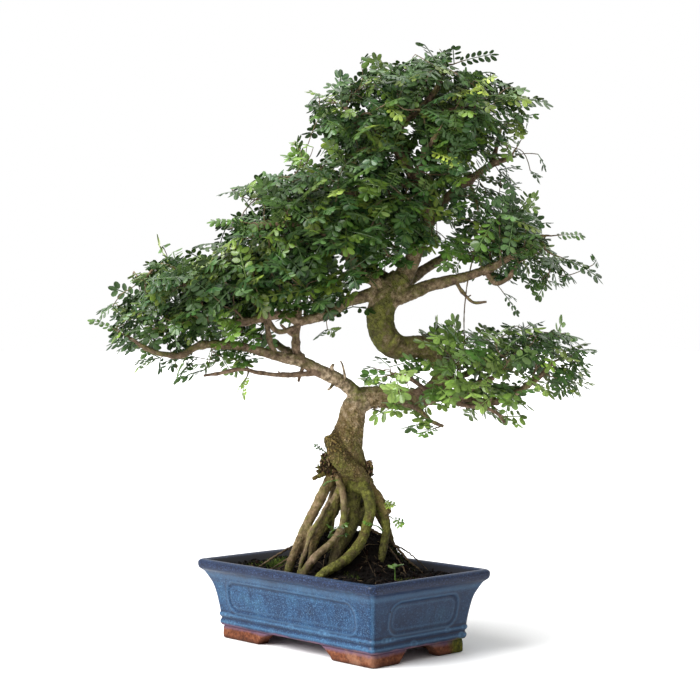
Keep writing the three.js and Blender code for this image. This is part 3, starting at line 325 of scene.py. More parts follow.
# The rest of the foliage fills these clumps:
# (across, depth, height, then half of each size the same way, how full, tone)
CLUMPS = [
    (37, -5, 664, 36, 60, 26, 1, "deep"), (89, 0, 673, 40, 70, 26, 1, "deep"),
    (145, 5, 656, 41, 70, 29, 0.9, "deep"), (196, 0, 640, 29, 50, 26, 0.8, "deep"),
    (5, -5, 635, 38, 55, 26, 1, "deep"), (65, 0, 629, 43, 80, 31, 1, "deep"),
    (130, 0, 614, 43, 80, 33, 1, "deep"), (190, 0, 600, 26, 40, 26, 0.5, "deep"),
    (35, 0, 588, 48, 80, 29, 1, "deep"), (-42, -10, 584, 21, 40, 21, 0.9, "green"),
    (118, 0, 562, 38, 80, 26, 0.9, "deep"), (5, 0, 546, 52, 90, 31, 1, "deep"),
    (71, 0, 534, 38, 90, 31, 0.9, "deep"), (-60, -5, 537, 50, 65, 21, 0.9, "deep"),
    (-48, 0, 499, 59, 90, 31, 1, "deep"), (26, 0, 495, 43, 90, 31, 1.2, "deep"),
    (-107, -10, 480, 43, 75, 28, 0.9, "deep"), (61, -20, 465, 19, 50, 21, 1, "deep"),
    (-107, -15, 527, 35, 40, 14, 0.5, "deep"), (-48, 0, 445, 52, 85, 31, 1.2, "deep"),
    (-119, -10, 427, 50, 80, 33, 1, "deep"), (-177, -15, 433, 40, 70, 28, 1, "deep"),
    (-225, -15, 427, 28, 55, 24, 0.8, "deep"), (-253, -20, 391, 26, 50, 21, 0.8, "deep"),
    (-195, -15, 388, 40, 65, 28, 0.9, "deep"), (-238, -20, 362, 26, 40, 14, 0.5, "deep"),
    (-124, -15, 374, 40, 55, 21, 0.7, "green"), (-183, -20, 350, 19, 30, 19, 0.5, "deep"),
    (-48, -5, 412, 40, 60, 19, 0.7, "deep"), (-139, -25, 336, 21, 24, 16, 0.5, "light"),
    (189, -10, 494, 38, 60, 26, 0.9, "deep"), (144, -5, 471, 31, 55, 24, 0.6, "green"),
    (234, -10, 475, 31, 50, 24, 0.8, "deep"), (189, -10, 454, 35, 45, 17, 0.8, "deep"),
    (257, -15, 449, 26, 30, 17, 0.5, "deep"), (215, -10, 525, 17, 30, 14, 0.5, "green"),
    (117, -20, 468, 12, 30, 19, 0.4, "green"), (228, 0, 572, 14, 24, 26, 0.6, "deep"),
    (129, -15, 364, 38, 50, 21, 0.6, "light"), (177, -10, 350, 40, 60, 26, 0.65, "light"),
    (237, 0, 356, 36, 60, 26, 1, "deep"), (278, 0, 344, 19, 35, 19, 0.7, "deep"),
    (132, -15, 322, 45, 60, 24, 0.65, "light"), (188, -15, 310, 38, 55, 21, 0.65, "light"),
    (76, -25, 319, 31, 45, 23, 0.6, "light"), (88, -20, 288, 24, 32, 13, 0.75, "light"),
    (150, -20, 287, 38, 42, 13, 0.7, "light"), (254, 0, 315, 26, 34, 14, 0.7, "deep"),
    (190, -25, 420, 11, 12, 12, 0.6, "deep"), (51, -22, 277, 11, 12, 11, 0.6, "deep"),
    (14, -20, 440, 26, 50, 16, 1.2, "deep"), (100, -30, 497, 40, 40, 26, 0.6, "deep"),
    (150, -10, 540, 26, 45, 24, 0.6, "deep"), (-150, -20, 345, 50, 35, 12, 0.8, "deep"),
    (40, -25, 331, 24, 20, 14, 0.9, "light"), (106, -24, 268, 29, 22, 13, 0.8, "light"),
    (195, -20, 284, 22, 24, 14, 0.7, "light"), (272, 0, 330, 22, 34, 16, 0.8, "deep"),
    (205, -5, 382, 44, 30, 10, 0.6, "light"), (240, -10, 400, 10, 8, 14, 0.5, "green"),
    (-26, -10, 662, 10, 16, 10, 0.7, "young"), (-217, -25, 474, 9, 10, 12, 0.5, "young"),
    (-158, -20, 472, 12, 14, 10, 0.5, "young"), (222, 0, 656, 14, 16, 8, 0.6, "deep"),
    (200, 78, 482, 45, 35, 24, 0.8, "deep"), (195, 68, 346, 40, 35, 22, 0.8, "deep"),
    (-195, 78, 425, 50, 30, 24, 0.8, "deep"), (118, 85, 652, 44, 30, 26, 0.8, "deep"),
    (100, 80, 505, 40, 34, 26, 0.7, "deep"), (-70, 84, 520, 50, 32, 24, 0.8, "deep"),
    (196, -10, 552, 20, 20, 22, 0.7, "deep"), (196, -12, 412, 14, 12, 16, 0.9, "deep"),
    (230, -12, 432, 26, 20, 10, 0.9, "deep"), (247, -10, 404, 8, 8, 14, 0.6, "green"),
    (-226, -15, 336, 16, 22, 9, 0.9, "deep"), (-165, -15, 330, 34, 24, 9, 0.9, "deep"),
    (-20, -14, 382, 14, 20, 10, 0.8, "deep"), (14, -14, 420, 20, 20, 9, 0.8, "deep"),
    (290, -10, 455, 12, 20, 9, 0.8, "deep"), (108, 0, 700, 22, 26, 8, 0.8, "deep"),
    (-190, -10, 468, 22, 24, 8, 0.8, "green"), (44, -22, 326, 14, 18, 12, 0.65, "light"),
    (45, -20, 275, 12, 14, 9, 0.9, "deep"), (207, -10, 274, 14, 18, 9, 0.6, "light"),
    (284, -5, 308, 10, 16, 10, 0.8, "deep"), (12, -16, 396, 22, 16, 8, 0.8, "deep"),
    (-36, -16, 372, 12, 14, 8, 0.8, "deep"), (152, -60, 656, 11, 12, 17, 1.2, "young"),
    (22, -56, 600, 9, 10, 20, 1, "light"),
]
# Gaps between the clumps, seen from the front: (across, height, half of each size), all through or in front
GAPS = [(*gap, behind) for behind, gaps in (
    (300, (
        (127, 495, 12, 11), (26, 640, 12, 7), (85, 615, 11, 9), (104, 451, 11, 9), (65, 481, 6, 5),
        (-36, 609, 13, 9), (-27, 580, 12, 8), (-3, 566, 8, 6), (11, 686, 14, 11), (77, 706, 22, 7),
        (158, 690, 17, 6), (-147, 492, 10, 8), (-124, 528, 16, 6), (-101, 524, 8, 6), (-226, 482, 8, 8),
        (-262, 432, 13, 12), (-243, 453, 10, 8), (232, 590, 13, 6), (-110, 565, 26, 6), (-285, 382, 13, 9),
        (-205, 356, 8, 9), (-167, 350, 11, 7), (193, 317, 10, 7), (116, 469, 9, 6), (261, 486, 13, 7),
        (281, 448, 10, 8), (184, 390, 24, 5), (259, 382, 12, 7), (136, 265, 16, 7), (77, 276, 9, 5),
        (219, 555, 5, 11), (233, 572, 6, 9), (239, 660, 8, 5), (-26, 668, 9, 9), (150, 455, 8, 6),
    )),
    (-4, (
        (71, 585, 9, 11), (84, 562, 9, 11), (99, 647, 9, 9), (85, 628, 9, 9), (114, 666, 8, 8),
        (160, 562, 17, 8), (-1, 452, 7, 18), (-70, 430, 8, 8), (60, 505, 7, 12),
    )),
) for gap in gaps]
TUFT_SPACING, TUFTS_PER_LITRE = 17, 100
# How far leaves may stand out of the clumps at these shares of their reach, and out of the part's box
LEAF_REACHES, LEAF_PAST_CLUMP, LEAF_PAST_BOX = [[0.4], [0.7], [1]], [1, 3, 7], 4
# Twigs leave limbs that are slimmer than this. Each costs more the more it turns back from its limb's way,
# keeps to that way for a share of its length, and rises a little
THICK_LIMB, TURN_BACK, LEAVES_LIMB, TWIG_LIFT, TWIG_STEP = 9, 0.8, 0.4, 0.12, 6
# Radius of a twig that carries one tuft, and the power by which it grows with their number
THIN_TWIG, TWIG_GROWTH = 0.55, 0.36

SEEDLING = {"across": 63, "depth": -60, "foot": 80, "height": 21, "radius": 0.9, "leaf": 5, "tilt": 24}
STEM_COLOUR = "4c662e"
# Foot and tip of each small shoot on roots and soil, its leaves, their size and tone
SPRIGS = [
    ((42, -12, 176), (54, -14, 172), 3, 0.55, "young"), ((54, -12, 152), (62, -16, 151), 2, 0.45, "light"),
    ((50, -30, 138), (38, -38, 146), 2, 0.4, "green"), ((-14, -24, 130), (-6, -44, 142), 3, 0.5, "deep"),
    ((-14, -24, 130), (-2, -38, 134), 2, 0.45, "deep"), ((-13, -8, 222), (-20, -14, 231), 3, 0.4, "deep"),
    ((-20, -16, 190), (-10, -26, 196), 2, 0.34, "green"),
]


def linear(hex_colour):
    """sRGB hex to linear colour."""
    parts = [int(hex_colour[place:place + 2], 16) / 255 for place in (0, 2, 4)]
    return (*(part / 12.92 if part <= 0.04045 else ((part + 0.055) / 1.055) ** 2.4 for part in parts), 1)


def seeded_draws(seed):
    """The part's own draws, the same on every run."""
    state = seed & 0xFFFFFFFF

    def multiply(a, b):
        return (a * b) & 0xFFFFFFFF

    def draw():
        nonlocal state
        state = (state + 0x6D2B79F5) & 0xFFFFFFFF
        mixed = multiply(state ^ (state >> 15), state | 1)
        mixed ^= (mixed + multiply(mixed ^ (mixed >> 7), mixed | 61)) & 0xFFFFFFFF
        return ((mixed ^ (mixed >> 14)) & 0xFFFFFFFF) / 4294967296

    return draw


def any_way(draw):
    """Three draws from -0.5 to 0.5."""
    return np.array([draw() - 0.5, draw() - 0.5, draw() - 0.5])


def any_tone(colours, share):
    """The hex colour at a share of the list, as linear red, green and blue."""
    return np.array(linear(colours[int(share * len(colours))])[:3])


# Geometry

UP = np.array([0.0, 0.0, 1.0])


def from_front(points):
    """Points of the tree's front frame, in the pot's frame."""
    across, depth, height = np.moveaxis(np.asarray(points, float), -1, 0)
    x, y = FRONT_COS * across - FRONT_SIN * depth, FRONT_SIN * across + FRONT_COS * depth
    return np.stack([x, y, height], -1)


def to_front(spots):
    """How far across and how deep spots lie in the tree's front frame."""
    x, y = spots[..., 0], spots[..., 1]
    return FRONT_COS * x + FRONT_SIN * y, FRONT_COS * y - FRONT_SIN * x


def smooth_step(value, low, high):
    share = np.clip((value - low) / (high - low), 0, 1)
    return share * share * (3 - 2 * share)


def bell(value, centre, width):
    return np.exp(-((value - centre) / width) ** 2)


def unit(vectors):
    return vectors / np.maximum(np.linalg.norm(vectors, axis=-1, keepdims=True), 1e-9)


def turned(vector, axis, angle):
    """A vector turned about a unit axis."""
    along = axis * np.dot(axis, vector)
    return along + (vector - along) * math.cos(angle) + np.cross(axis, vector) * math.sin(angle)


def curve_at(points, places):
    """Centripetal Catmull-Rom curve through the points, at places from 0 to 1 counted by points."""
    points = np.asarray(points, float)
    ends = [2 * points[0] - points[1], *points, 2 * points[-1] - points[-2]]
    found = []
    for place in places:
        span = place * (len(points) - 1)
        row = min(int(span), len(points) - 2)
        part = span - row
        near = ends[row:row + 4]
        steps = [max(np.linalg.norm(near[k + 1] - near[k]), 1e-6) ** 0.5 for k in range(3)]
        before = (near[1] - near[0]) / steps[0] - (near[2] - near[0]) / (steps[0] + steps[1])
        after = (near[2] - near[1]) / steps[1] - (near[3] - near[1]) / (steps[1] + steps[2])
        start = (before + (near[2] - near[1]) / steps[1]) * steps[1]
        end = (after + (near[3] - near[2]) / steps[2]) * steps[1]
        rise = near[2] - near[1]
        found.append(near[1] + start * part + (3 * rise - 2 * start - end) * part ** 2
                     + (start + end - 2 * rise) * part ** 3)
    return np.array(found)


def radius_at(points, places):
    """Radius along a limb."""
    radii = [point[3] for point in points]
    return np.interp(np.asarray(places) * (len(points) - 1), range(len(points)), radii)


def limb_path(points, step):
    """Centres and radii along a limb, about a step apart."""
    centres = from_front([point[:3] for point in points])
    length = np.linalg.norm(np.diff(centres, axis=0), axis=1).sum()
    places = np.linspace(0, 1, max(3, round(length / step)))
    return curve_at(centres, places), radius_at(points, places)


def soil_height(x, y):
    away = np.hypot(x - SOIL["moundX"], y - SOIL["moundY"]) / SOIL["spread"]
    ripple = np.sin(x / 9 + 1) * np.cos(y / 7) + np.sin(x / 17 - y / 13)
    return SOIL["edge"] + SOIL["mound"] * np.exp(-(away ** 4)) + SOIL["ripple"] * ripple


def lumps(points, size, seed=0.0):
    """Smooth noise from -1 to 1 at points in millimetres, with lumps about that size."""
    shift = Vector((seed, 2 * seed, -seed))
    return np.array([noise.noise(Vector(point) / size + shift) for point in points])


def finder(points):
    """A tree that finds the nearest of the points."""
    tree = kdtree.KDTree(len(points))
    for number, point in enumerate(points):
        tree.insert(point, number)
    tree.balance()
    return tree


# Meshes

def piece_of(name, data, material=None):
    """Puts new data into the scene as a piece, smooth if it has its material."""
    piece = bpy.data.objects.new(name, data)
    bpy.context.scene.collection.objects.link(piece)
    if material:
        coat(piece, material)
    return piece


def coat(piece, material, smooth=True):
    """Gives a piece its only material and its shading."""
    piece.data.materials.clear()
    piece.data.materials.append(material)
    if smooth:
        piece.data.shade_smooth()
    return piece


def mesh_piece(name, points, faces, material=None):
    """A piece from points in millimetres and its faces."""
    data = bpy.data.meshes.new(name)
    data.from_pydata((np.asarray(points, float) * MM).tolist(), [], faces)
    data.validate()
    data.update()
    return piece_of(name, data, material)


def triangle_piece(name, points, triangles, material):
    """A piece from arrays of points in millimetres and of triangles."""
    data = bpy.data.meshes.new(name)
    data.vertices.add(len(points))
    data.vertices.foreach_set("co", (points * MM).astype(np.float32).ravel())
    data.loops.add(3 * len(triangles))
    data.loops.foreach_set("vertex_index", triangles.astype(np.int32).ravel())
    data.polygons.add(len(triangles))
    data.polygons.foreach_set("loop_start", np.arange(0, 3 * len(triangles), 3, dtype=np.int32))
    data.update(calc_edges=True)
    return piece_of(name, data, material)


def copies(name, shape, triangles, places, tints, material):
    """One tinted mesh of many turned and sized copies of a shape; places are (spot, basis) pairs."""
    count = len(shape)
    spots, bases = (np.array(column) for column in zip(*places))
    points = spots[:, None, :] + np.einsum("vk,nkj->nvj", shape, bases)
    index = triangles[None] + np.arange(len(places))[:, None, None] * count
    piece = triangle_piece(name, points.reshape(-1, 3), index.reshape(-1, 3), material)
    paint(piece, "tint", np.concatenate([np.broadcast_to(tint, (count, 3)) for tint in tints]))
    return piece


def only(piece):
    """Selects one piece and nothing else."""
    bpy.ops.object.select_all(action="DESELECT")
    piece.select_set(True)
    bpy.context.view_layer.objects.active = piece


def tubes(name, paths, roundness, material=None):
    """Round tubes along paths of points and radii in millimetres, as one mesh."""
    data = bpy.data.curves.new(name, "CURVE")
    data.dimensions = "3D"
    data.bevel_depth = 1.0
    data.bevel_resolution = roundness
    data.use_fill_caps = True
    for points, radii in paths:
        spline = data.splines.new("POLY")
        spline.points.add(len(points) - 1)
        spline.points.foreach_set("co", np.column_stack([points * MM, np.ones(len(points))]).ravel())
        spline.points.foreach_set("radius", np.asarray(radii, float) * MM)
    only(piece_of(name, data))
    bpy.ops.object.convert(target="MESH")
    piece = bpy.context.view_layer.objects.active
    return coat(piece, material) if material else piece


def finish_modifier(piece, kind, **settings):
    """Adds a modifier and applies it."""
    modifier = piece.modifiers.new(kind.lower(), kind)
    for name, value in settings.items():
        setattr(modifier, name, value)
    only(piece)
    bpy.ops.object.modifier_apply(modifier=modifier.name)


def points_of(piece, what="co"):
    """A mesh's points in millimetres, or with "normal" the way that each faces."""
    flat = np.empty(len(piece.data.vertices) * 3, np.float32)
    piece.data.vertices.foreach_get(what, flat)
    return flat.reshape(-1, 3).astype(float) / MM if what == "co" else flat.reshape(-1, 3)


def move_points(piece, points):
    piece.data.vertices.foreach_set("co", (points * MM).astype(np.float32).ravel())
    piece.data.update()


def paint(piece, name, colours):
    """Keeps three shares or a colour for each point of the mesh; one row stands for all points."""
    amount = len(piece.data.vertices)
    colours = np.column_stack([np.broadcast_to(colours, (amount, 3)), np.ones(amount)]).astype(np.float32)
    piece.data.color_attributes.new(name, "FLOAT_COLOR", "POINT").data.foreach_set("color", colours.ravel())


# Materials

MIX = {"data_type": "RGBA", "out": 2}
MULTIPLY, MULTIPLY_ADD = {"operation": "MULTIPLY"}, {"operation": "MULTIPLY_ADD"}
# Where moss grows on a foot, in metres
DAMP_FOOT = (0.126, 0.0745, 0.017)


def add(material, kind, links=(), stops=(), out=0, **settings):
    """Adds a shader node with its settings, ramp colours and sockets, and gives one of its outputs.

    Sockets go by name or number, or in order from the first, and take a value, a hex colour or a link."""
    node = material.node_tree.nodes.new("ShaderNode" + kind)
    for name, value in settings.items():
        setattr(node, name, value)
    for number, (place, value) in enumerate(stops):
        if number > 1:
            node.color_ramp.elements.new(place)
        node.color_ramp.elements[number].position = place
        node.color_ramp.elements[number].color = linear(value)
    for name, value in links.items() if isinstance(links, dict) else enumerate(links):
        if isinstance(value, bpy.types.NodeSocket):
            material.node_tree.links.new(value, node.inputs[name])
        else:
            node.inputs[name].default_value = linear(value) if isinstance(value, str) else value
    return node.outputs[out] if node.outputs else node


def new_material(name):
    """An empty material and its Object coordinates."""
    material = bpy.data.materials.new(name)
    material.use_nodes = True
    material.node_tree.nodes.clear()
    return material, add(material, "TexCoord", out=3)


def surface(material, normal=None, **sockets):
    """Ends a material in its shader; normal is the height, strength and distance of its relief."""
    names = {name.replace("_", " "): value for name, value in sockets.items()}
    if normal:
        names["Normal"] = add(material, "Bump", dict(zip(("Height", "Strength", "Distance"), normal)))
    add(material, "OutputMaterial", [add(material, "BsdfPrincipled", names)])
    return material


def glaze_material():
    """Blue glaze over stoneware, dipped and fired: speckled, thin and pale on edges, pooled dark in hollows,
    with painted shade on the short sides and inside.

    Its relief attribute holds how far an edge stands out, how far a hollow falls back and how much painted
    shade a short side takes, and how deep a spot lies inside, which is painted dark as shade."""
    glaze, place = new_material("blue_glaze_on_stoneware")
    relief = add(glaze, "Attribute", attribute_name="relief")
    edge, hollow_and_shade, inside = add(glaze, "SeparateColor", [relief]).node.outputs
    height = add(glaze, "SeparateXYZ", [place], out=2)
    # Speckle of about a millimetre, clouds of 30 mm, and runs of thicker glaze down the walls. Wander bends
    # the glaze's lower edge, and grit roughens the clay
    stretched = add(glaze, "Mapping", {"Vector": place, "Scale": (1, 1, 0.12)})
    speckle, clouds, runs, wander, grit = (
        add(glaze, "TexNoise", {"Vector": vector, "Scale": scale, "Detail": detail, "Roughness": roughness})
        for vector, scale, detail, roughness in (
            (place, 620, 5, 0.75), (place, 26, 4, 0.6), (stretched, 120, 3, 0.5), (place, 45, 3, 0.5),
            (place, 260, 5, 0.7))
    )
    fine, broad, lip_colour, clay, moss_green = (
        add(glaze, "ValToRGB", [share], stops) for share, stops in (
            (speckle, [(0.38, "050e1c"), (0.47, "142c4a"), (0.55, "244466"), (0.66, "6890ac")]),
            (clouds, [(0.36, "0d182f"), (0.47, "162f4d"), (0.57, "204466"), (0.7, "335e78")]),
            (speckle, [(0.36, "050914"), (0.48, "0e162c"), (0.58, "1e2c4a"), (0.7, "566a90")]),
            (grit, [(0.3, "2c1710"), (0.45, "56301f"), (0.58, "6c3f2a"), (0.74, "886044")]),
            (grit, [(0.35, "23270c"), (0.5, "454a14"), (0.7, "6c6c20")]))
    )
    # Dark pinholes, a few on each side
    pits = add(glaze, "TexVoronoi", {"Vector": place, "Scale": 38})
    # How high a spot lies on the feet, and how far from the damp foot
    level = add(glaze, "Math", [wander, 0.006, height], **MULTIPLY_ADD)
    from_damp = add(glaze, "VectorMath", [place, DAMP_FOOT], operation="DISTANCE", out=1)
    damp = add(glaze, "Math", [wander, -0.03, from_damp], **MULTIPLY_ADD)
    run, lip, pit, bare, lilac, low, scuffs, mossy = (
        add(glaze, "MapRange", sockets) for sockets in (
            (runs, 0.54, 0.68, 0, 0.45), (height, 0.083, 0.088, 0, 0.9), (pits, 0.035, 0.06, 0.85, 0),
            (level, 0.0215, 0.0198, 0, 1), (level, 0.0135, 0.0175, 0, 0.85), (level, 0.0045, 0.0085, 0.8, 0),
            (clouds, 0.54, 0.66, 0, 0.4), (damp, 0.004, 0.012, 0.9, 0))
    )
    body = add(glaze, "Mix", {0: 0.42, 6: fine, 7: broad}, **MIX)
    # The lip is a greyer mauve; painted shade darkens the short sides and paints the inner side near-black
    for share, over in ((run, "101c34"), (hollow_and_shade, "131d34"), (edge, "4a6f8e"), (lip, lip_colour),
                        (inside, "121218"), (pit, "0c101c")):
        body = add(glaze, "Mix", {0: share, 6: body, 7: over}, **MIX)
    # Bare clay at the feet, with a lilac band where the glaze ends, pale scuffs, and moss on the damp foot
    for share, over in ((low, "3c2218"), (lilac, "5e4c60"), (scuffs, "94705a"), (mossy, moss_green)):
        clay = add(glaze, "Mix", {0: share, 6: clay, 7: over}, **MIX)
    colour = add(glaze, "Mix", {0: bare, 6: body, 7: clay}, **MIX)
    gloss = add(glaze, "MapRange", (bare, 0, 1, 0.26, 0.88))
    gloss = add(glaze, "Math", [speckle, 0.16, gloss], **MULTIPLY_ADD)
    bumps = add(glaze, "Math", [speckle, 0.35, add(glaze, "Math", [grit, bare], **MULTIPLY)], **MULTIPLY_ADD)
    return surface(glaze, (bumps, 0.5, 0.0006), Base_Color=colour, Roughness=gloss, Specular_IOR_Level=0.18)


def bark_material():
    """Living bark: olive-tan and smooth, with raised corky specks, moss where it stays damp, darker roots,
    and painted shade and a painted highlight round the trunk's foot.

    Its growth attribute holds moss, root bark that also carries painted shade, and pale young root that also
    carries a painted highlight; its age attribute young twig, ochre that also carries a painted highlight,
    and wet soil that also carries painted shade."""
    bark, place = new_material("living_bark_with_moss")
    (moss, root, pale), (young, ochre, wet_soil_and_shade) = (
        add(bark, "SeparateColor", [add(bark, "Attribute", attribute_name=name)]).node.outputs
        for name in ("growth", "age")
    )
    grain, patches, cushions = (
        add(bark, "TexNoise", {"Vector": place, "Scale": scale, "Detail": detail, "Roughness": roughness})
        for scale, detail, roughness in ((170, 6, 0.65), (45, 3, 0.5), (130, 7, 0.72))
    )
    # Old burl bark stands in knobs 3 mm across, dark between; corky specks are 1 mm across, 2.5 mm apart
    knobs, corks = (add(bark, "TexVoronoi", {"Vector": place, "Scale": scale}) for scale in (310, 400))
    # Moss breaks up into cushions of a few millimetres
    grown = add(bark, "Math", [moss, 1.1, cushions], **MULTIPLY_ADD)
    colour, root_and_shade_colour, pale_colour, young_colour, moss_colour = (
        add(bark, "ValToRGB", [share], stops) for share, stops in (
            (grain, [(0.32, "362b20"), (0.45, "70614c"), (0.55, "a18d72"), (0.68, "cebca4")]),
            (grain, [(0.3, "241b10"), (0.47, "4e4128"), (0.6, "6e5c3a"), (0.75, "94805a")]),
            (grain, [(0.3, "5c4a3a"), (0.48, "806a54"), (0.62, "9c866c"), (0.78, "b8a286")]),
            (grain, [(0.3, "3e3228"), (0.48, "624f40"), (0.62, "806a56"), (0.78, "a08a72")]),
            (cushions, [(0.35, "26260f"), (0.47, "474a1a"), (0.58, "646828"), (0.72, "8a8840")]))
    )
    patch, between, speck, mossy = (
        add(bark, "MapRange", sockets) for sockets in (
            (patches, 0.5, 0.7, 0, 0.35), (knobs, 0.3, 0.62, 0, 1.5), (corks, 0.16, 0.3, 1, 0),
            (grown, 0.66, 1.08, 0, 0.85))
    )
    furrow = add(bark, "Math", [between, ochre], use_clamp=True, **MULTIPLY)
    # Wet soil clings to the feet of the roots. The same dark colour is painted shade at the trunk's foot,
    # in the crease beside the fold and on the inner roots
    corky = add(bark, "Math", [speck, 0.42], **MULTIPLY)
    soil_and_shade_share = add(bark, "Math", [wet_soil_and_shade, 0.8], **MULTIPLY)
    # The root colour is also painted shade beside the fold and on bark in the crown; pale and ochre paint a
    # highlight on the fold
    for share, over in ((patch, "7c6648"), (root, root_and_shade_colour), (pale, pale_colour), (young, young_colour),
                        (ochre, "8a7232"), (furrow, "3a2a14"), (corky, "8a7c60"), (mossy, moss_colour),
                        (soil_and_shade_share, "2a1f15")):
        colour = add(bark, "Mix", {0: share, 6: colour, 7: over}, **MIX)
    height = grain
    for share, rise in ((speck, 0.5), (furrow, -1.4), (mossy, cushions)):
        height = add(bark, "Math", [share, rise, height], **MULTIPLY_ADD)
    return surface(bark, (height, 1, 0.0018), Base_Color=colour, Roughness=0.8, Specular_IOR_Level=0.2)


def leaf_material():
    """Leathery pinnate leaf: waxy above with a pale midrib, duller and greyer below.

    Its tint attribute holds each leaf's own green, its blade attribute the place along and across a leaflet
    and the leaflet's own shade."""
    leaf, place = new_material("waxy_green_leaf")
    tint = add(leaf, "Attribute", attribute_name="tint")
    blade = add(leaf, "Attribute", attribute_name="blade")
    along, across, own = add(leaf, "SeparateColor", [blade]).node.outputs
    mottle = add(leaf, "TexNoise", {"Vector": place, "Scale": 320, "Detail": 3})
    # Veins leave the midrib forward every sixth of the length
    swept = add(leaf, "Math", [across, -0.5, along], **MULTIPLY_ADD)
    veins = add(leaf, "Math", [add(leaf, "Math", [swept, 38], **MULTIPLY)], operation="SINE")
    below = add(leaf, "NewGeometry", out=6)
    shade, leaflet_shade, turning, rib, vein, gloss = (
        add(leaf, "MapRange", sockets) for sockets in (
            (mottle, 0.3, 0.7, 0.78, 1.22), (own, 0, 1, 0.5, 1.45), (own, 0.88, 1, 0, 0.22),
            (across, 0.03, 0.1, 0.5, 0), (veins, 0.75, 1, 0, 0.16), (below, 0, 1, 0.3, 0.6))
    )
    # No two leaflets are the same green, and a few turn yellow
    colour = tint
    for share in (shade, leaflet_shade):
        colour = add(leaf, "VectorMath", [colour, share], **MULTIPLY)
    lines = add(leaf, "Math", [rib, vein], operation="MAXIMUM")
    for share, over in ((turning, "76862f"), (lines, "5c7040")):
        colour = add(leaf, "Mix", {0: share, 6: colour, 7: over}, **MIX)
    under = add(leaf, "Mix", {0: 0.45, 6: colour, 7: "48603c"}, **MIX)
    colour = add(leaf, "Mix", {0: below, 6: colour, 7: under}, **MIX)
    return surface(leaf, (lines, 0.35, 0.0004), Base_Color=colour, Roughness=gloss, Specular_IOR_Level=0.34)


def soil_material():
    """Damp potting soil: near-black peat with reddish fibre and pale grit."""
    soil, place = new_material("damp_potting_soil")
    grains = add(soil, "TexNoise", {"Vector": place, "Scale": 420, "Detail": 6, "Roughness": 0.75})
    colour = add(
        soil, "ValToRGB", [grains], [(0.3, "040303"), (0.5, "0c0907"), (0.66, "1a120d"), (0.85, "2c2016")]
    )
    tint = add(soil, "Attribute", attribute_name="tint")
    colour = add(soil, "Mix", {0: 1, 6: colour, 7: tint}, blend_type="MULTIPLY", **MIX)
    return surface(soil, (grains, 0.9, 0.0014), Base_Color=colour, Roughness=0.95, Specular_IOR_Level=0.1)


def moss_material():
    """Moss: fine soft shoots, yellow-green at the tips."""
    moss, place = new_material("moss")
    mottle = add(moss, "TexNoise", {"Vector": place, "Scale": 300, "Detail": 2})
    shade = add(moss, "MapRange", (mottle, 0.3, 0.7, 0.7, 1.3))
    colour = add(moss, "VectorMath", [add(moss, "Attribute", attribute_name="tint"), shade], **MULTIPLY)
    return surface(moss, Base_Color=colour, Roughness=0.95, Specular_IOR_Level=0.1)


def mesh_plastic_material():
    """Moulded black polypropylene mesh, matt."""
    plastic, place = new_material("moulded_black_plastic")
    haze = add(plastic, "TexNoise", {"Vector": place, "Scale": 600, "Detail": 2})
    colour = add(plastic, "ValToRGB", [haze], [(0.35, "151716"), (0.7, "232625")])
    return surface(plastic, Base_Color=colour, Roughness=0.6)


# Pot

def around_pot(out):
    """Points around the pot that far outside its feet, with the way that each faces."""
    radius = CORNER_RADIUS + max(out, 0) / 10
    corners, ways = [], []
    for side_x, side_y, start in ((1, -1, -90), (1, 1, 0), (-1, 1, 90), (-1, -1, 180)):
        angles = np.radians(start + np.linspace(0, 90, CORNER_STEPS))
        ways.append(np.stack([np.cos(angles), np.sin(angles)], 1))
        centre = np.array([side_x * (HALF_LONG + out - radius), side_y * (HALF_SHORT + out - radius)])
        corners.append(centre + radius * ways[-1])
    spots, facing = [], []
    for number, steps in enumerate((SHORT_STEPS, LONG_STEPS) * 2):
        share = np.linspace(0, 1, steps + 2)[1:-1, None]
        ahead = corners[(number + 1) % 4][0]
        spots += [corners[number], corners[number][-1] * (1 - share) + ahead * share]
        facing += [ways[number], np.repeat(ways[number][-1:], steps, 0)]
    return np.concatenate(spots), np.concatenate(facing)


def ring_faces(rows, around, closed=False):
    """Faces between rings of points; closed joins the last ring to the first."""
    faces = []
    for row in range(rows if closed else rows - 1):
        here, ahead = row * around, (row + 1) % rows * around
        for step in range(around):
            beside = (step + 1) % around
            faces.append((here + step, here + beside, ahead + beside, ahead + step))
    return faces


def from_panel(spots, facing, height):
    """Distance from the edge of the side's sunken panel, less than 0 within it."""
    on_short, on_long = (np.abs(facing) > 0.999).T
    from_long, from_short = (np.abs(spots) - [PANEL["longHalf"], PANEL["shortHalf"]]).T
    aside = np.where(on_short, from_short, from_long)
    aside = np.where(on_short | on_long, aside, 60) + PANEL["corner"]
    half = PANEL["height"] / 2
    upright = abs(height - PANEL["bottom"] - half) - half + PANEL["corner"]
    outside = np.hypot(np.maximum(aside, 0), np.maximum(upright, 0))
    return outside + np.minimum(np.maximum(aside, upright), 0) - PANEL["corner"]


def bells(height, rows):
    """Sum of what a table of heights, half widths and shares gives at a height."""
    return sum(share * bell(height, centre, width) for centre, width, share in rows)


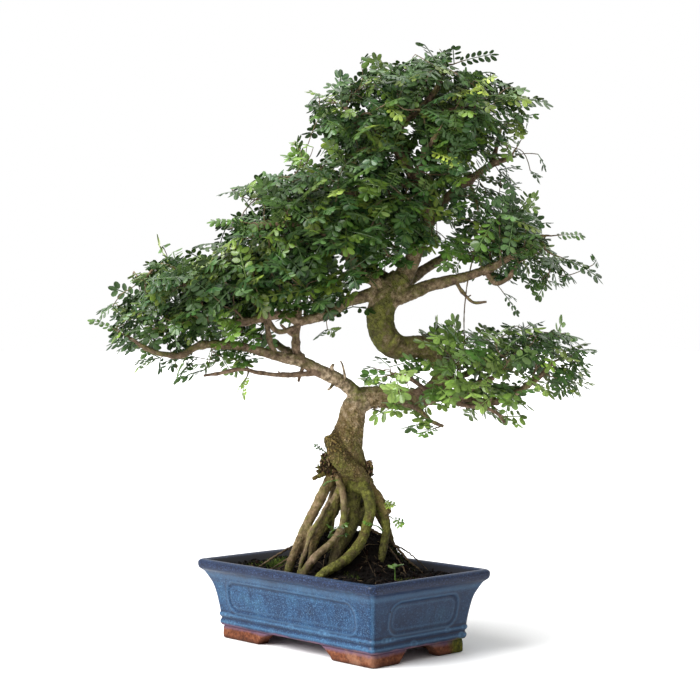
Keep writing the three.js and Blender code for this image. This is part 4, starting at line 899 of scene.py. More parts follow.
def pot_wall(material):
    """The wall: its outline run round the pot, with sunken panels, ridges and small rings in the glaze."""
    outline = np.array(POT_PROFILE, float)
    run = np.concatenate([[0], np.cumsum(np.linalg.norm(np.diff(outline, axis=0), axis=1))])
    places = np.interp(np.arange(0, run[-1], GLAZE_ROW), run, np.arange(len(run))) / (len(run) - 1)
    rows = curve_at(outline, places)
    lip = np.argmax(rows[:, 0])
    rows = np.concatenate([rows[:lip + ROWS_PAST_LIP], rows[lip + ROWS_PAST_LIP::2]])
    around = len(around_pot(0)[0])
    draw = seeded_draws(41)
    marks = [(draw() * around, RIDGES[draw() > 0.45], 0.8 + 0.5 * draw()) for _ in range(RING_MARKS)]
    points, relief = [], []
    for row, (height, out) in enumerate(rows):
        spots, facing = around_pot(out)
        edge, hollow_and_shade, inward, inside = np.zeros((4, around))
        if row > lip:
            # Below the lip the inner side darkens as painted shade, the more the deeper it lies
            inside = np.full(around, smooth_step(rows[lip, 1] - out, 2, 7))
        else:
            if PANEL_SHOWS[0] < height < PANEL_SHOWS[1]:
                away = from_panel(spots, facing, height)
                lean = (PANEL["topOut"] - PANEL["bottomOut"]) * (height - PANEL["bottom"]) / PANEL["height"]
                inward = smooth_step(-away, -0.4, 2.4) * max(out - PANEL["bottomOut"] - lean, 0.5)
                inward -= 0.4 * bell(away, 2.2, 1.5) + 0.15 * bell(away, -5, 1.4)
                edge = 0.32 * bell(away, 1.6, 1.1) + 0.16 * bell(away, -5.2, 1.1)
                hollow_and_shade = 0.3 * bell(away, -1.9, 1.3) + 0.15 * bell(away, 5, 1.6)
            corner = np.abs(facing[:, 0] * facing[:, 1]) * 2
            edge += 0.25 * smooth_step(corner, 0.6, 1) + bells(height, THIN_GLAZE)
            # The short sides take the pooled glaze's dark colour as painted shade, and the glaze pooled
            # thicker under the lip
            hollow_and_shade += 0.55 * smooth_step(np.abs(facing[:, 0]), 0.7, 1) + bells(height, POOLED_GLAZE)
            for mark, level, size in marks:
                beside = (np.arange(around) - mark + around / 2) % around - around / 2
                from_mark = np.hypot(beside * POINT_SPACING, height - level) / size
                edge += 0.35 * bell(from_mark, RING_RADIUS, 0.8)
                hollow_and_shade += 0.35 * bell(from_mark, 0, 1.5)
                inward -= 0.06 * bell(from_mark, RING_RADIUS, 0.9)
        points.append(np.column_stack([spots - facing * inward[:, None], np.full(around, height)]))
        relief.append(np.column_stack([np.clip(edge, 0, 1), np.clip(hollow_and_shade, 0, 1), inside]))
    points = np.concatenate(points)
    wall = mesh_piece("pot_wall", points, ring_faces(len(rows), around, closed=True), material)
    hand = 0.35 * lumps(points, 42, 5.2) + 0.12 * lumps(points, 9, 1.7)
    points[:, :2] += np.concatenate([around_pot(0)[1]] * len(rows)) * hand[:, None]
    points[:, 2] += 0.25 * lumps(points, 60, 8.8) * smooth_step(points[:, 2], 40, 90)
    move_points(wall, points)
    paint(wall, "relief", np.concatenate(relief))
    return wall


def block(name, low, high):
    """A box between two corners in millimetres."""
    low, high = np.array(low, float), np.array(high, float)
    bpy.ops.object.select_all(action="DESELECT")
    bpy.ops.mesh.primitive_cube_add(size=1, location=((low + high) / 2 * MM).tolist())
    piece = bpy.context.view_layer.objects.active
    piece.name = name
    piece.scale = ((high - low) * MM).tolist()
    only(piece)
    bpy.ops.object.transform_apply(location=True, rotation=True, scale=True)
    return piece


def cut_from(piece, cutters):
    """Cuts other pieces out of one and removes them."""
    for cutter in cutters:
        finish_modifier(piece, "BOOLEAN", object=cutter, operation="DIFFERENCE", solver="EXACT")
        bpy.data.objects.remove(cutter, do_unlink=True)


def arch_cutter(profile, reach, along_x):
    """Cut-out between two feet: a profile of heights and half widths, drawn through the pot."""
    half = [(-width, height) for height, width in profile]
    outline = [(-profile[0][1], -2)] + half + [(-x, z) for x, z in reversed(half)] + [(profile[0][1], -2)]
    count = len(outline)
    points = [(x, y, z) for y in (-reach, reach) for x, z in outline]
    points = [(-y, x, z) if along_x else (x, y, z) for x, y, z in points]
    faces = [tuple(range(count))[::-1], tuple(range(count, 2 * count))]
    faces += [(k, (k + 1) % count, (k + 1) % count + count, k + count) for k in range(count)]
    cutter = mesh_piece("arch", points, faces)
    only(cutter)
    bpy.ops.object.mode_set(mode="EDIT")
    bpy.ops.mesh.select_all(action="SELECT")
    bpy.ops.mesh.normals_make_consistent(inside=False)
    bpy.ops.object.mode_set(mode="OBJECT")
    return cutter


def pot_feet(material):
    """Four corner feet left standing of one band of clay, their edges worn."""
    feet = block("pot_feet", (-HALF_LONG, -HALF_SHORT, 0), (HALF_LONG, HALF_SHORT, FOOT_TOP))
    finish_modifier(feet, "BEVEL", width=FOOT_ROUND * MM, segments=5, limit_method="ANGLE")
    # Flat underneath, with less of a round edge than above
    points = points_of(feet)
    low = points[:, 2] < 8
    points[low, 2] = np.where(points[low, 2] > FOOT_ROUND - 0.1, FOOT_ROUND, points[low, 2] * 0.25)
    move_points(feet, points)
    inner = np.array([HALF_LONG - FOOT_WIDTH, HALF_SHORT - FOOT_WIDTH])
    cut_from(feet, [
        block("inner", (*-inner, -2), (*inner, 15.6)),
        arch_cutter(LONG_CUT, 2 * HALF_SHORT, False),
        arch_cutter(SHORT_CUT, 2 * HALF_LONG, True),
    ])
    finish_modifier(feet, "REMESH", mode="VOXEL", voxel_size=FOOT_GRAIN * MM)
    finish_modifier(feet, "SMOOTH", factor=0.5, iterations=3)
    points = points_of(feet)
    worn = 0.5 * lumps(points, 9, 2.2) + 0.3 * lumps(points, 3.5, 6.1)
    points[:, :2] += unit(points[:, :2]) * worn[:, None]
    points[:, 2] = np.maximum(points[:, 2] + 0.3 * worn * (points[:, 2] > 3), 0.02)
    move_points(feet, points)
    paint(coat(feet, material), "relief", [0, 0, 0])
    return feet


def pot_floor(material):
    """The floor of the pot, with its two drainage holes."""
    half = np.array([HALF_LONG, HALF_SHORT]) - FLOOR_INSET
    floor = block("pot_floor", (*-half, FLOOR_BOTTOM), (*half, FLOOR_TOP))
    drains = []
    for side in (-1, 1):
        bpy.ops.object.select_all(action="DESELECT")
        bpy.ops.mesh.primitive_cylinder_add(vertices=40, radius=DRAIN_RADIUS * MM, depth=0.06,
                                            location=(side * DRAIN_FROM_CENTRE * MM, 0, 0.02))
        drains.append(bpy.context.view_layer.objects.active)
    cut_from(floor, drains)
    finish_modifier(floor, "BEVEL", width=0.8 * MM, segments=2, limit_method="ANGLE")
    paint(coat(floor, material, smooth=False), "relief", [0, 0, 0])
    return floor


# Soil

def on_soil(x, y):
    return abs(x) < SOIL_REACH[0] and abs(y) < SOIL_REACH[1]


def in_pot(draw, share=1.0):
    """A random spot on the soil."""
    return (2 * draw() - 1) * (HALF_LONG + 5) * share, (2 * draw() - 1) * (HALF_SHORT + 5) * share


def soil_bed(material):
    """Potting soil: heaped under the roots, its top crumbled."""
    ring = around_pot(SOIL_TOP_OUT)[0][::2]
    around = len(ring)
    shares = np.concatenate([[1, 1], 1 - (np.arange(1, SOIL_RINGS) / SOIL_RINGS) ** 1.1])
    spots = shares[:, None, None] * ring
    points = np.concatenate([spots, soil_height(spots[..., 0], spots[..., 1])[..., None]], -1)
    points[0] = np.column_stack([around_pot(SOIL_BOTTOM_OUT)[0][::2], np.full(around, SOIL_BOTTOM)])
    points = points.reshape(-1, 3)
    points[around:, 2] += 2.2 * lumps(points[around:], 8, 4.4) + 1.6 * lumps(points[around:], 3.6, 9.3)
    centre = len(points)
    points = np.concatenate([points, [[0, 0, soil_height(0, 0)], [0, 0, SOIL_BOTTOM]]])
    faces = ring_faces(len(shares), around)
    last = centre - around
    faces += [(last + step, last + (step + 1) % around, centre) for step in range(around)]
    faces += [((step + 1) % around, step, centre + 1) for step in range(around)]
    bed = mesh_piece("soil_bed", points, faces, material)
    paint(bed, "tint", [1, 1, 1])
    return bed


def any_basis(draw):
    """Three axes turned any way."""
    along = unit(any_way(draw))
    across = unit(np.cross(along, any_way(draw)))
    return np.array([along, across, np.cross(along, across)])


def crumb_shape():
    bpy.ops.object.select_all(action="DESELECT")
    bpy.ops.mesh.primitive_ico_sphere_add(subdivisions=1, radius=MM)
    crumb = bpy.context.view_layer.objects.active
    shape = points_of(crumb)
    triangles = np.array([face.vertices[:] for face in crumb.data.polygons])
    bpy.data.objects.remove(crumb, do_unlink=True)
    return shape, triangles


def soil_crumbs(material):
    """Crumbs of peat, bark and grit that lie on the soil."""
    draw = seeded_draws(77)
    places, tints = [], []
    for _ in range(CRUMBS):
        x, y = in_pot(draw)
        size = 0.6 + 2.1 * draw() ** 3
        basis = any_basis(draw) * size * [[1 + draw()], [0.7 + 0.5 * draw()], [0.6 + 0.3 * draw()]]
        places.append(([x, y, soil_height(x, y) + 0.4 * size + 0.8 * draw()], basis))
        tints.append(any_tone(CRUMB_COLOURS, draw() ** 1.6) * CRUMB_LIGHT * (0.5 + 0.9 * draw()))
    return copies("soil_crumbs", *crumb_shape(), places, tints, material)


def wandering(draw, start, heading, length, step=3.0, bend=0.35, above=0.7):
    """A path of points that wanders over the soil."""
    points = [np.array(start, float)]
    for _ in range(max(2, round(length / step))):
        heading = unit(heading + bend * any_way(draw) * [1, 1, 0.5])
        spot = points[-1] + step * heading
        spot[2] = soil_height(spot[0], spot[1]) + above + 0.8 * math.sin(len(points) * 1.1)
        if not on_soil(*spot[:2]):
            break
        points.append(spot)
    return np.array(points)


def fine_roots(material):
    """Reddish fine roots and straw on the soil, and the wiry roots that arch down to it on both sides."""
    draw = seeded_draws(91)
    paths = []
    for _ in range(STRAWS):
        x, y = in_pot(draw, 0.9)
        angle = 2 * math.pi * draw()
        heading = (math.cos(angle), math.sin(angle), 0)
        path = wandering(draw, (x, y, soil_height(x, y) + 0.7), heading, 10 + 34 * draw())
        if len(path) > 2:
            paths.append((path, np.linspace(0.55, 0.22, len(path)) * (0.7 + 0.6 * draw())))
    for radius, points in WIRY_ROOTS:
        path = curve_at(from_front(points), np.linspace(0, 1, 7 * len(points)))
        wave = 0.5 * np.sin(np.arange(len(path))[:, None] * [1.3, 1.9, 2.3])
        paths.append((path + wave, np.linspace(radius, 0.5 * radius, len(path))))
    roots = tubes("fine_roots", paths, 0, material)
    share = 0.5 + 0.5 * lumps(points_of(roots), 16, 3.3)
    ones = np.ones(len(share))
    paint(roots, "growth", np.column_stack([0.25 * share, ones, 0.1 * (1 - share)]))
    paint(roots, "age", np.column_stack([0.3 * ones, 0 * ones, np.clip(2 * share - 0.2, 0, 1)]))
    return roots


def blades(name, spots, height, tones, seed, material):
    """Short pointed shoots that stand on the soil or the bark at (spot, way) pairs."""
    draw = seeded_draws(seed)
    shape = np.array([[0, -0.32, 0], [0, 0.32, 0], [0.1, 0, 0.5], [0.25, 0, 1]])
    triangles = np.array([[0, 1, 2], [1, 3, 2], [3, 0, 2]])
    places, tints = [], []
    for spot, way in spots:
        way = unit(way + 0.9 * any_way(draw))
        aside = unit(np.cross(way, any_way(draw)))
        tall = height * (0.5 + draw())
        places.append((spot, np.array([np.cross(aside, way) * tall, aside * 0.9, way * tall])))
        tints.append(any_tone(tones, draw()) * [[0.4], [0.4], [0.65], [0.95]])
    return copies(name, shape, triangles, places, tints, material)


def moss_on_soil(material):
    draw = seeded_draws(55)
    spots = []
    for bed_x, bed_y, long, wide, share in MOSS_BEDS:
        for _ in range(round(MOSS_SHOOTS * share * long * wide)):
            angle, away = 2 * math.pi * draw(), math.sqrt(draw())
            x, y = bed_x + long * away * math.cos(angle), bed_y + wide * away * math.sin(angle)
            if on_soil(x, y) and noise.noise(Vector((x / 9, y / 9, 1.3))) + 0.5 * draw() > 0.15:
                spots.append(((x, y, soil_height(x, y) - 0.3), UP))
    return blades("soil_moss", spots, 3.6, MOSS_COLOURS, 56, material)


def weeds(material):
    """Small green shoots that stand out of the moss."""
    draw = seeded_draws(57)
    spots = []
    for tuft_x, tuft_y, reach, count in WEEDS:
        for _ in range(count):
            angle, away = 2 * math.pi * draw(), reach * draw()
            way = np.array([math.cos(angle), math.sin(angle)]) * away
            x, y = way + [tuft_x, tuft_y]
            spots.append(((x, y, soil_height(x, y) - 0.3), (*(1.4 * way / reach), 1)))
    return blades("soil_weeds", spots, 9, WEED_COLOURS, 58, material)


# Wood

def wood_samples():
    """Centres, radii and kinds along all of the wood, each with its limb's name: 0 trunk, 1 root, 2 limb."""
    rows = []
    for kind, group in enumerate(({"trunk": TRUNK, "fold": FOLD}, ROOTS, BRANCHES)):
        for name, points in group.items():
            rows += [(spot, radius, kind, name) for spot, radius in zip(*limb_path(points, 4))]
    return rows


def past_fold(points):
    """How far each point lies outside the fold that winds across the trunk's foot."""
    path, radii = limb_path(FOLD, 2)
    tree = finder(path)
    found = [tree.find(Vector(point)) for point in points]
    return np.array([away - radii[number] for _, number, away in found])


def slim_from(radii):
    """The place along a limb from where it is too slim to be melted in."""
    return int(np.argmax(radii < STOUT)) if (radii < STOUT).any() else len(radii)


def stout_wood(material):
    """Roots, trunk and thick limbs, melted together as they grow, with furrows and swellings."""
    paths = [limb_path(points, 3) for points in (TRUNK, FOLD, *ROOTS.values(), *THIN_ROOTS)]
    for points in BRANCHES.values():
        path, radii = limb_path(points, 3)
        slim = slim_from(radii)
        if slim > 2:
            paths.append((path[:slim], radii[:slim]))
    wood = tubes("stout_wood", paths, 4)
    finish_modifier(wood, "REMESH", mode="VOXEL", voxel_size=GRAIN * MM)
    finish_modifier(wood, "SMOOTH", factor=0.5, iterations=4)
    points = points_of(wood)
    height = points[:, 2]
    swell = 0.75 * lumps(points, 17, 2.4) + 0.45 * lumps(points, 7, 6.6)
    swell += 0.3 * lumps(points * [1, 1, 0.4], 2.6, 1.9)
    # The foot of the trunk is wrung like cloth: creases run up and round it
    burl = np.clip(bell(height, 252, 42) + 0.35, 0, 1)
    turn = height * 0.02
    wrung = np.column_stack([points[:, 0] * np.cos(turn) + points[:, 1] * np.sin(turn),
                             points[:, 1] * np.cos(turn) - points[:, 0] * np.sin(turn), 0.35 * height])
    creases = sum(deep * np.maximum(0, 1 - np.abs(lumps(wrung, size, seed)) / wide)
                  for deep, size, seed, wide in ((1.5, 8, 4.7, 0.3), (1, 4.6, 7.1, 0.35)))
    swell += burl * (0.8 * lumps(wrung, 5, 9.2) + 0.4 - 0.75 * creases)
    outside, wide, deep = FOLD_CREASE
    swell -= deep * bell(past_fold(points), outside, wide) * bell(height, FOLD_HEIGHT, 40)
    move_points(wood, points + points_of(wood, "normal") * (0.35 + swell)[:, None])
    return coat(wood, material)


def slim_wood(material):
    """The rest of the limbs, knobbly where twigs have been cut."""
    draw = seeded_draws(23)
    paths = []
    for points in BRANCHES.values():
        path, radii = limb_path(points, 2.4)
        slim = slim_from(radii)
        if slim == len(radii):
            continue
        path, radii = (part[max(slim - 6, 0):] for part in (path, radii))
        count = len(radii)
        knobs = np.zeros(count)
        for _ in range(max(1, count // 7)):
            knobs += (0.12 + 0.25 * draw()) * bell(np.arange(count), draw() * count, 1.2)
        wander = np.column_stack([lumps(path, 13, shift) for shift in (1.1, 4.2, 7.7)])
        wander *= smooth_step(np.arange(count), 0, 8)[:, None]
        paths.append((path + 0.9 * wander, radii * (1 + knobs)))
        for _ in range(max(1, count // 16)):
            at = int(draw() * (count - 2))
            way = unit(any_way(draw) + [0, 0, 0.2] + 0.5 * unit(path[at + 1] - path[at]))
            stub = path[at] + np.outer([0, 0.6, 1], (radii[at] + 2 + 5 * draw()) * way)
            stub[2, 2] += 0.4
            paths.append((stub, np.array([1, 0.9, 0.7]) * (0.25 * radii[at] + 0.5)))
    paths += [limb_path(points, 1.6) for points in STUBS]
    wood = tubes("slim_wood", paths, 2)
    points = points_of(wood)
    move_points(wood, points + points_of(wood, "normal") * (0.3 * lumps(points, 4, 3.9))[:, None])
    return coat(wood, material)


def paint_wood(wood, samples, tree):
    """Keeps where the wood is mossy, root, pale, young, ochre or soiled, and where painted shade and a
    painted highlight go.
    """
    points, normals = points_of(wood), points_of(wood, "normal")
    growth, age = np.zeros((2, len(points), 3))
    patches = 0.5 + 0.5 * lumps(points, 26, 8.1)
    left = from_front([-1, 0, 0])
    for row, (point, damp, past) in enumerate(zip(points, patches, past_fold(points))):
        _, radius, kind, name = samples[tree.find(Vector(point))[1]]
        height = point[2]
        if kind == 0:
            at_roots = 1 - smooth_step(height, 196, 240)
            # Painted shade darkens the crease beside the fold, and a painted highlight brightens the fold
            # itself
            fold_crease_shade = bell(past, 2.8, 2.2) * bell(height, 235, 50)
            fold_highlight = smooth_step(-past, -1.5, 0.5)
            moss = 0.12 + 0.3 * damp * (bell(height, FOLD_HEIGHT, 26) + (height > 300) + at_roots)
            moss += 0.3 * bell(height, 410, 60)
            moss += 0.25 * max(np.dot(normals[row], left), 0) * (300 < height < 420)
            # Root colour paints shade on the trunk in the crown, and the soil's dark colour paints shade on
            # its foot between the roots
            growth[row] = (moss, 0.5 * at_roots + 0.4 * smooth_step(height, 310, 350) + fold_crease_shade,
                           0.35 * (1 - damp) * bell(height, 275, 24) + 0.15 * fold_highlight)
            age[row, 1:] = (0.5 * bell(height, 245, 38) * (1 - 0.6 * damp) + 0.1 + 0.22 * fold_highlight,
                            0.5 * (1 - smooth_step(height, 180, 212)) + 0.75 * fold_crease_shade)
        elif kind == 1:
            pale = PALE_ROOTS.get(name, 0)
            at_trunk = smooth_step(height, 172, 216)
            moss = (0.62 * damp + 0.25 * (name in MOSSY_ROOTS)) * (1 - 0.45 * at_trunk)
            moss += 0.25 * (height < 104)
            growth[row] = moss, 0.85 - 0.4 * pale, 0.8 * pale
            wet_soil_and_shade = (1 - smooth_step(height, 98, 150)) * (0.4 + 0.6 * damp) * (0.3 if name == "bigFront" else 1)
            # The inner roots get the soil's dark colour as painted shade
            wet_soil_and_shade += 0.5 * (name in ("core", "crossing"))
            age[row, 1:] = 0.4 * (1 - damp) * (1 - pale) + 0.3 * at_trunk, wet_soil_and_shade
        else:
            slender = smooth_step(-radius, -8.5, -4)
            moss = 0.38 * damp + 0.3 * max(normals[row, 2], 0) * (1 - 0.4 * slender)
            # Bark high in the crown takes the root colour as painted shade
            growth[row] = moss, 0.6 * smooth_step(height, 360, 420), 0.45 * slender * (1 - damp)
            age[row, 0] = 0.85 * slender
            if name in PALE_LIMBS:
                growth[row] = 0.05, 0, 0.9
    paint(wood, "growth", np.clip(growth, 0, 1))
    paint(wood, "age", np.clip(age, 0, 1))


# Foliage

class LeafShape:
    """One compound leaf, flat: X along its rib, Y across. Keeps each point's place in its leaflet."""

    def __init__(self, draw=None):
        self.points, self.triangles, self.blade, self.draw = [], [], [], draw

    def leaflet(self, x, y, angle, length, width):
        """Each leaflet leans its own way and has its own shade, where the shape has draws for it."""
        start = len(self.points)
        cos, sin = math.cos(angle), math.sin(angle)
        roll, pitch, shade = 0, 0, 0.5
        if self.draw:
            roll, pitch, shade = 0.9 * (self.draw() - 0.5), 0.5 * (self.draw() - 0.6), self.draw()
        for along, across in [*LEAFLET_RIM, LEAFLET_MIDDLE]:
            out, aside = LEAFLET_STALK + along * length, across * width
            sag = -0.32 * abs(aside) * (1 - 0.4 * along) - 0.14 * out * out / length
            sag += aside * roll + (out - LEAFLET_STALK) * pitch + 0.25 * (not across)
            self.points.append((x + out * cos - aside * sin, y + out * sin + aside * cos, sag))
            self.blade.append((along, abs(across), shade))
        self.triangles += [(start + 8, start + (step + 1) % 8, start + step) for step in range(8)]

    def rib(self, x, y, angle, length):
        """A rib: a narrow ridge along the leaf."""
        start = len(self.points)
        cos, sin = math.cos(angle), math.sin(angle)
        for along in np.linspace(0, length, RIB_STEPS + 1):
            for aside, lift in ((RIB_HALF_WIDTH, -0.3), (0, 0.6), (-RIB_HALF_WIDTH, -0.3)):
                self.points.append((x + along * cos - aside * sin, y + along * sin + aside * cos, lift))
                self.blade.append((0.5, 0.06, 0.5))
        for step in range(RIB_STEPS):
            for a in (start + 3 * step, start + 3 * step + 1):
                self.triangles += [(a, a + 1, a + 4), (a, a + 4, a + 3)]

    def compound(self, x, y, angle, first, spacing, pairs, length, width, lean, first_size=0.85):
        cos, sin = math.cos(angle), math.sin(angle)
        for pair in range(pairs):
            along = first + spacing * pair
            size = 1 if pair else first_size
            for side in (1, -1):
                self.leaflet(x + along * cos - side * 0.3 * sin, y + along * sin + side * 0.3 * cos,
                             angle + side * lean, length * size, width * size)
        last = first + spacing * (pairs - 1)
        self.leaflet(x + last * cos, y + last * sin, angle, length, width)
        self.rib(x, y, angle, last + 2)

    def arrays(self):
        return np.array(self.points), np.array(self.triangles), np.array(self.blade)


def own_leaves(side, leaf, end_leaf, side_leaf, draw=None):
    """The leaves of one of the part's sprays: an end leaf and a side leaf."""
    shape = LeafShape(draw)
    turn = side * math.radians(LEAF["turn"])
    for x, angle, kind in ((0, 0, end_leaf), (SIDE_LEAF["from"], turn, side_leaf))[:2 if side else 1]:
        shape.compound(x, 0, angle, kind["first"], leaf["spacing"], kind["pairs"], leaf["leaflet"],
                       leaf["width"], math.radians(LEAF["lean"]))
    return shape.arrays()


def grown_leaf(tone, pairs, variant):
    length, width, first, _ = GROWN[tone]
    shape = LeafShape(seeded_draws(40 * variant + pairs))
    shape.compound(0, 0, 0, first, width * LEAFLET_STEP, pairs, length, width, GROWN_LEAN, 0.8)
    return shape.arrays()


def spray_plan(number, limb, place, tip):
    """How the part's own spray stands: twig, leaves' heading and light, roll, side, scale and droop."""
    points = BRANCHES[limb]
    root = curve_at(from_front([point[:3] for point in points]), [place])[0]
    reach = from_front(tip)
    draw = seeded_draws(number + 1)
    away = np.linalg.norm(reach - root)
    full = END_LEAF["first"] + LEAF["spacing"] * (END_LEAF["pairs"] - 1) + LEAF["leaflet"]
    bare = radius_at(points, [place])[0] + TWIG["shortest"]
    scale = min(max((away - bare) / full, LEAF["smallest"]), LEAF["largest"])
    end = root + (reach - root) * max(away - scale * full, bare) / away
    climb = TWIG["arch"] * np.linalg.norm(end - root) + TWIG["climbFirst"] * max(end[2] - root[2], 0)
    twig = curve_at([root, (root + end) / 2 + UP * climb, end], np.linspace(0, 1, 9))
    light = LEAF["upward"] * UP + unit(from_front([tip[0] - CANOPY_CENTRE, 2 * tip[1], 0]))
    droop = LEAF["leastDroop"] + LEAF["moreDroop"] * draw()
    roll = LEAF["roll"] * (draw() - 0.5)
    straight = unit(reach - end)
    heading = straight + droop * unit(light - straight * np.dot(light, straight))
    return twig, heading, light, roll, [-1, 1, 0][number % 3], scale, droop


def leaf_basis(heading, light, roll):
    along = unit(heading)
    face = turned(unit(light - along * np.dot(light, along)), along, roll)
    return np.array([along, np.cross(face, along), face])


def bent(shape, scale, droop):
    """A flat leaf arched down along its rib."""
    full = END_LEAF["first"] + LEAF["spacing"] * END_LEAF["pairs"]
    points = shape * scale
    points[:, 2] -= scale * droop * shape[:, 0] ** 2 / full
    return points


def placed(leaf, spot, axes, size, arch, colour):
    """A leaf's arrays and colour, with its points bent, turned and moved to its spot."""
    shape, triangles, blade = leaf
    return spot + bent(shape, size, arch) @ axes, triangles, blade, colour


def leafy_piece(name, leaves, material):
    """One mesh of placed leaves."""
    points, triangles, blade, colours = zip(*leaves)
    starts = np.cumsum([0] + [len(part) for part in points])
    index = np.concatenate([part + start for part, start in zip(triangles, starts)])
    piece = triangle_piece(name, np.concatenate(points), index, material)
    tints = [np.broadcast_to(colour, part.shape) for part, colour in zip(points, colours)]
    paint(piece, "tint", np.concatenate(tints))
    paint(piece, "blade", np.concatenate(blade))
    return piece


def own_stance(node, plan):
    """The stance in which the part's leaves stand: the one whose points lie nearest to the node's."""
    twig, heading, light, roll, side, scale, droop = plan
    tree = finder(np.array([corner.co[:] for corner in node.data.vertices]) / MM)
    # The middle of each leaflet's rim tells how it is turned
    tips = bent(own_leaves(side, LEAF, END_LEAF, SIDE_LEAF)[0], scale, droop)[4::9][:7]
    stances = [leaf_basis(turned(heading, UP, bend), light, roll + turn) for bend in BENDS for turn in TURNS]
    return min(stances, key=lambda basis: sum(tree.find(point)[2] for point in twig[-1] + tips @ basis))


def out_of_clumps(spots):
    """How many millimetres spots stand out of the clumps, with the gaps counted as far out."""
    across, depth = to_front(spots)
    clumps = np.array([row[:6] for row in CLUMPS], float)
    aside = (across[:, None] - clumps[:, 0]) / clumps[:, 3]
    raised = (spots[:, 2:] - clumps[:, 2]) / clumps[:, 5]
    beyond = np.abs(depth[:, None] - clumps[:, 1]) / clumps[:, 4]
    size = np.sqrt(clumps[:, 3] * clumps[:, 5])
    out = ((np.maximum(np.hypot(aside, raised), 0.8 * beyond) - 1) * size).min(1)
    gaps = np.array(GAPS, float)
    nearer = CAMERA_AWAY / (CAMERA_AWAY + depth)
    seen_across = (across - CAMERA_ACROSS) * nearer + CAMERA_ACROSS
    seen_height = (spots[:, 2] - CAMERA_HEIGHT) * nearer + CAMERA_HEIGHT
    aside = (seen_across[:, None] - gaps[:, 0]) / gaps[:, 2]
    raised = (seen_height[:, None] - gaps[:, 1]) / gaps[:, 3]
    within = (np.hypot(aside, raised) < 1) & (depth[:, None] < gaps[:, 4])
    return np.where(within.any(1), 99, out)


def tuft_spots():
    """Where tufts of leaves grow: scattered evenly through the clumps."""
    draw = seeded_draws(7)
    spots, tones = np.empty((0, 3)), []
    for across, depth, height, wide, deep, tall, share, tone in CLUMPS:
        count = round(TUFTS_PER_LITRE * share * 4 / 3 * math.pi * wide * deep * tall / 1e6)
        for _ in range(3 * count):
            way = unit(any_way(draw))
            spot = from_front([across, depth, height] + np.array([wide, deep, tall]) * way * draw() ** 0.3)
            if len(spots) and np.linalg.norm(spots - spot, axis=1).min() < TUFT_SPACING:
                continue
            if out_of_clumps(spot[None])[0] > 0:
                continue
            spots = np.vstack([spots, spot])
            tones.append(tone)
            count -= 1
            if not count:
                break
    return spots, tones


def grow_twigs(plans, spots):
    """Twigs that reach every tuft, nearest first: paths with radii and owners, and each tuft's own way."""
    places, ways, owners = [], [], []
    centres = np.array([twig[-1] for twig, *_ in plans])
    starts = []
    for points in BRANCHES.values():
        path, radii = limb_path(points, TWIG_STEP)
        slim = radii < THICK_LIMB
        starts.append((path[slim], np.gradient(path, axis=0)[slim], -1))
    starts += [(twig[3:], np.gradient(twig, axis=0)[3:], number) for number, (twig, *_) in enumerate(plans)]
    for path, steps, owner in starts:
        places += list(path)
        ways += [unit(step) for step in steps]
        owners += [owner] * len(path)
    first_grown = len(places)
    parents = [-1] * first_grown
    node_of = np.full(len(spots), -1)
    cost = np.full(len(spots), np.inf)
    source = np.zeros(len(spots), int)

    def offer(start):
        """Lets the nodes from start on bid for every tuft that has no twig yet."""
        for node in range(start, len(places)):
            gaps = spots - places[node]
            away = np.linalg.norm(gaps, axis=1) + 1e-6
            price = away * (1 + TURN_BACK * (1 - gaps @ ways[node] / away))
            better = (price < cost) & (node_of < 0)
            cost[better] = price[better]
            source[better] = node

    offer(0)
    chains = []
    for _ in range(len(spots)):
        tuft = int(np.argmin(np.where(node_of < 0, cost, np.inf)))
        parent = source[tuft]
        start, goal = places[parent], spots[tuft]
        away = np.linalg.norm(goal - start)
        middle = start + LEAVES_LIMB * away * ways[parent] + TWIG_LIFT * away * UP
        steps = max(2, round(away / TWIG_STEP))
        share = np.linspace(0, 1, steps + 1)[:, None]
        path = (1 - share) ** 2 * start + 2 * share * (1 - share) * middle + share ** 2 * goal
        owner = owners[parent]
        if owner < 0:
            owner = int(np.argmin(np.linalg.norm(centres - goal, axis=1)))
        before = len(places)
        chain = [parent, *range(before, before + steps)]
        places += list(path[1:])
        ways += [unit(step) for step in np.diff(path, axis=0)]
        owners += [owner] * steps
        parents += chain[:-1]
        node_of[tuft] = chain[-1]
        chains.append(chain)
        offer(before)
    # Each twig carries what grows from it
    flow = np.zeros(len(places))
    for node in range(len(places) - 1, first_grown - 1, -1):
        flow[node] = flow[node] or 1
        if parents[node] >= first_grown:
            flow[parents[node]] += flow[node]
    radii = THIN_TWIG * np.maximum(flow, 1) ** TWIG_GROWTH
    places = np.array(places)
    paths = [(places[chain], radii[[chain[1], *chain[1:]]], owners[chain[-1]]) for chain in chains]
    return paths, [(owners[node], ways[node]) for node in node_of]


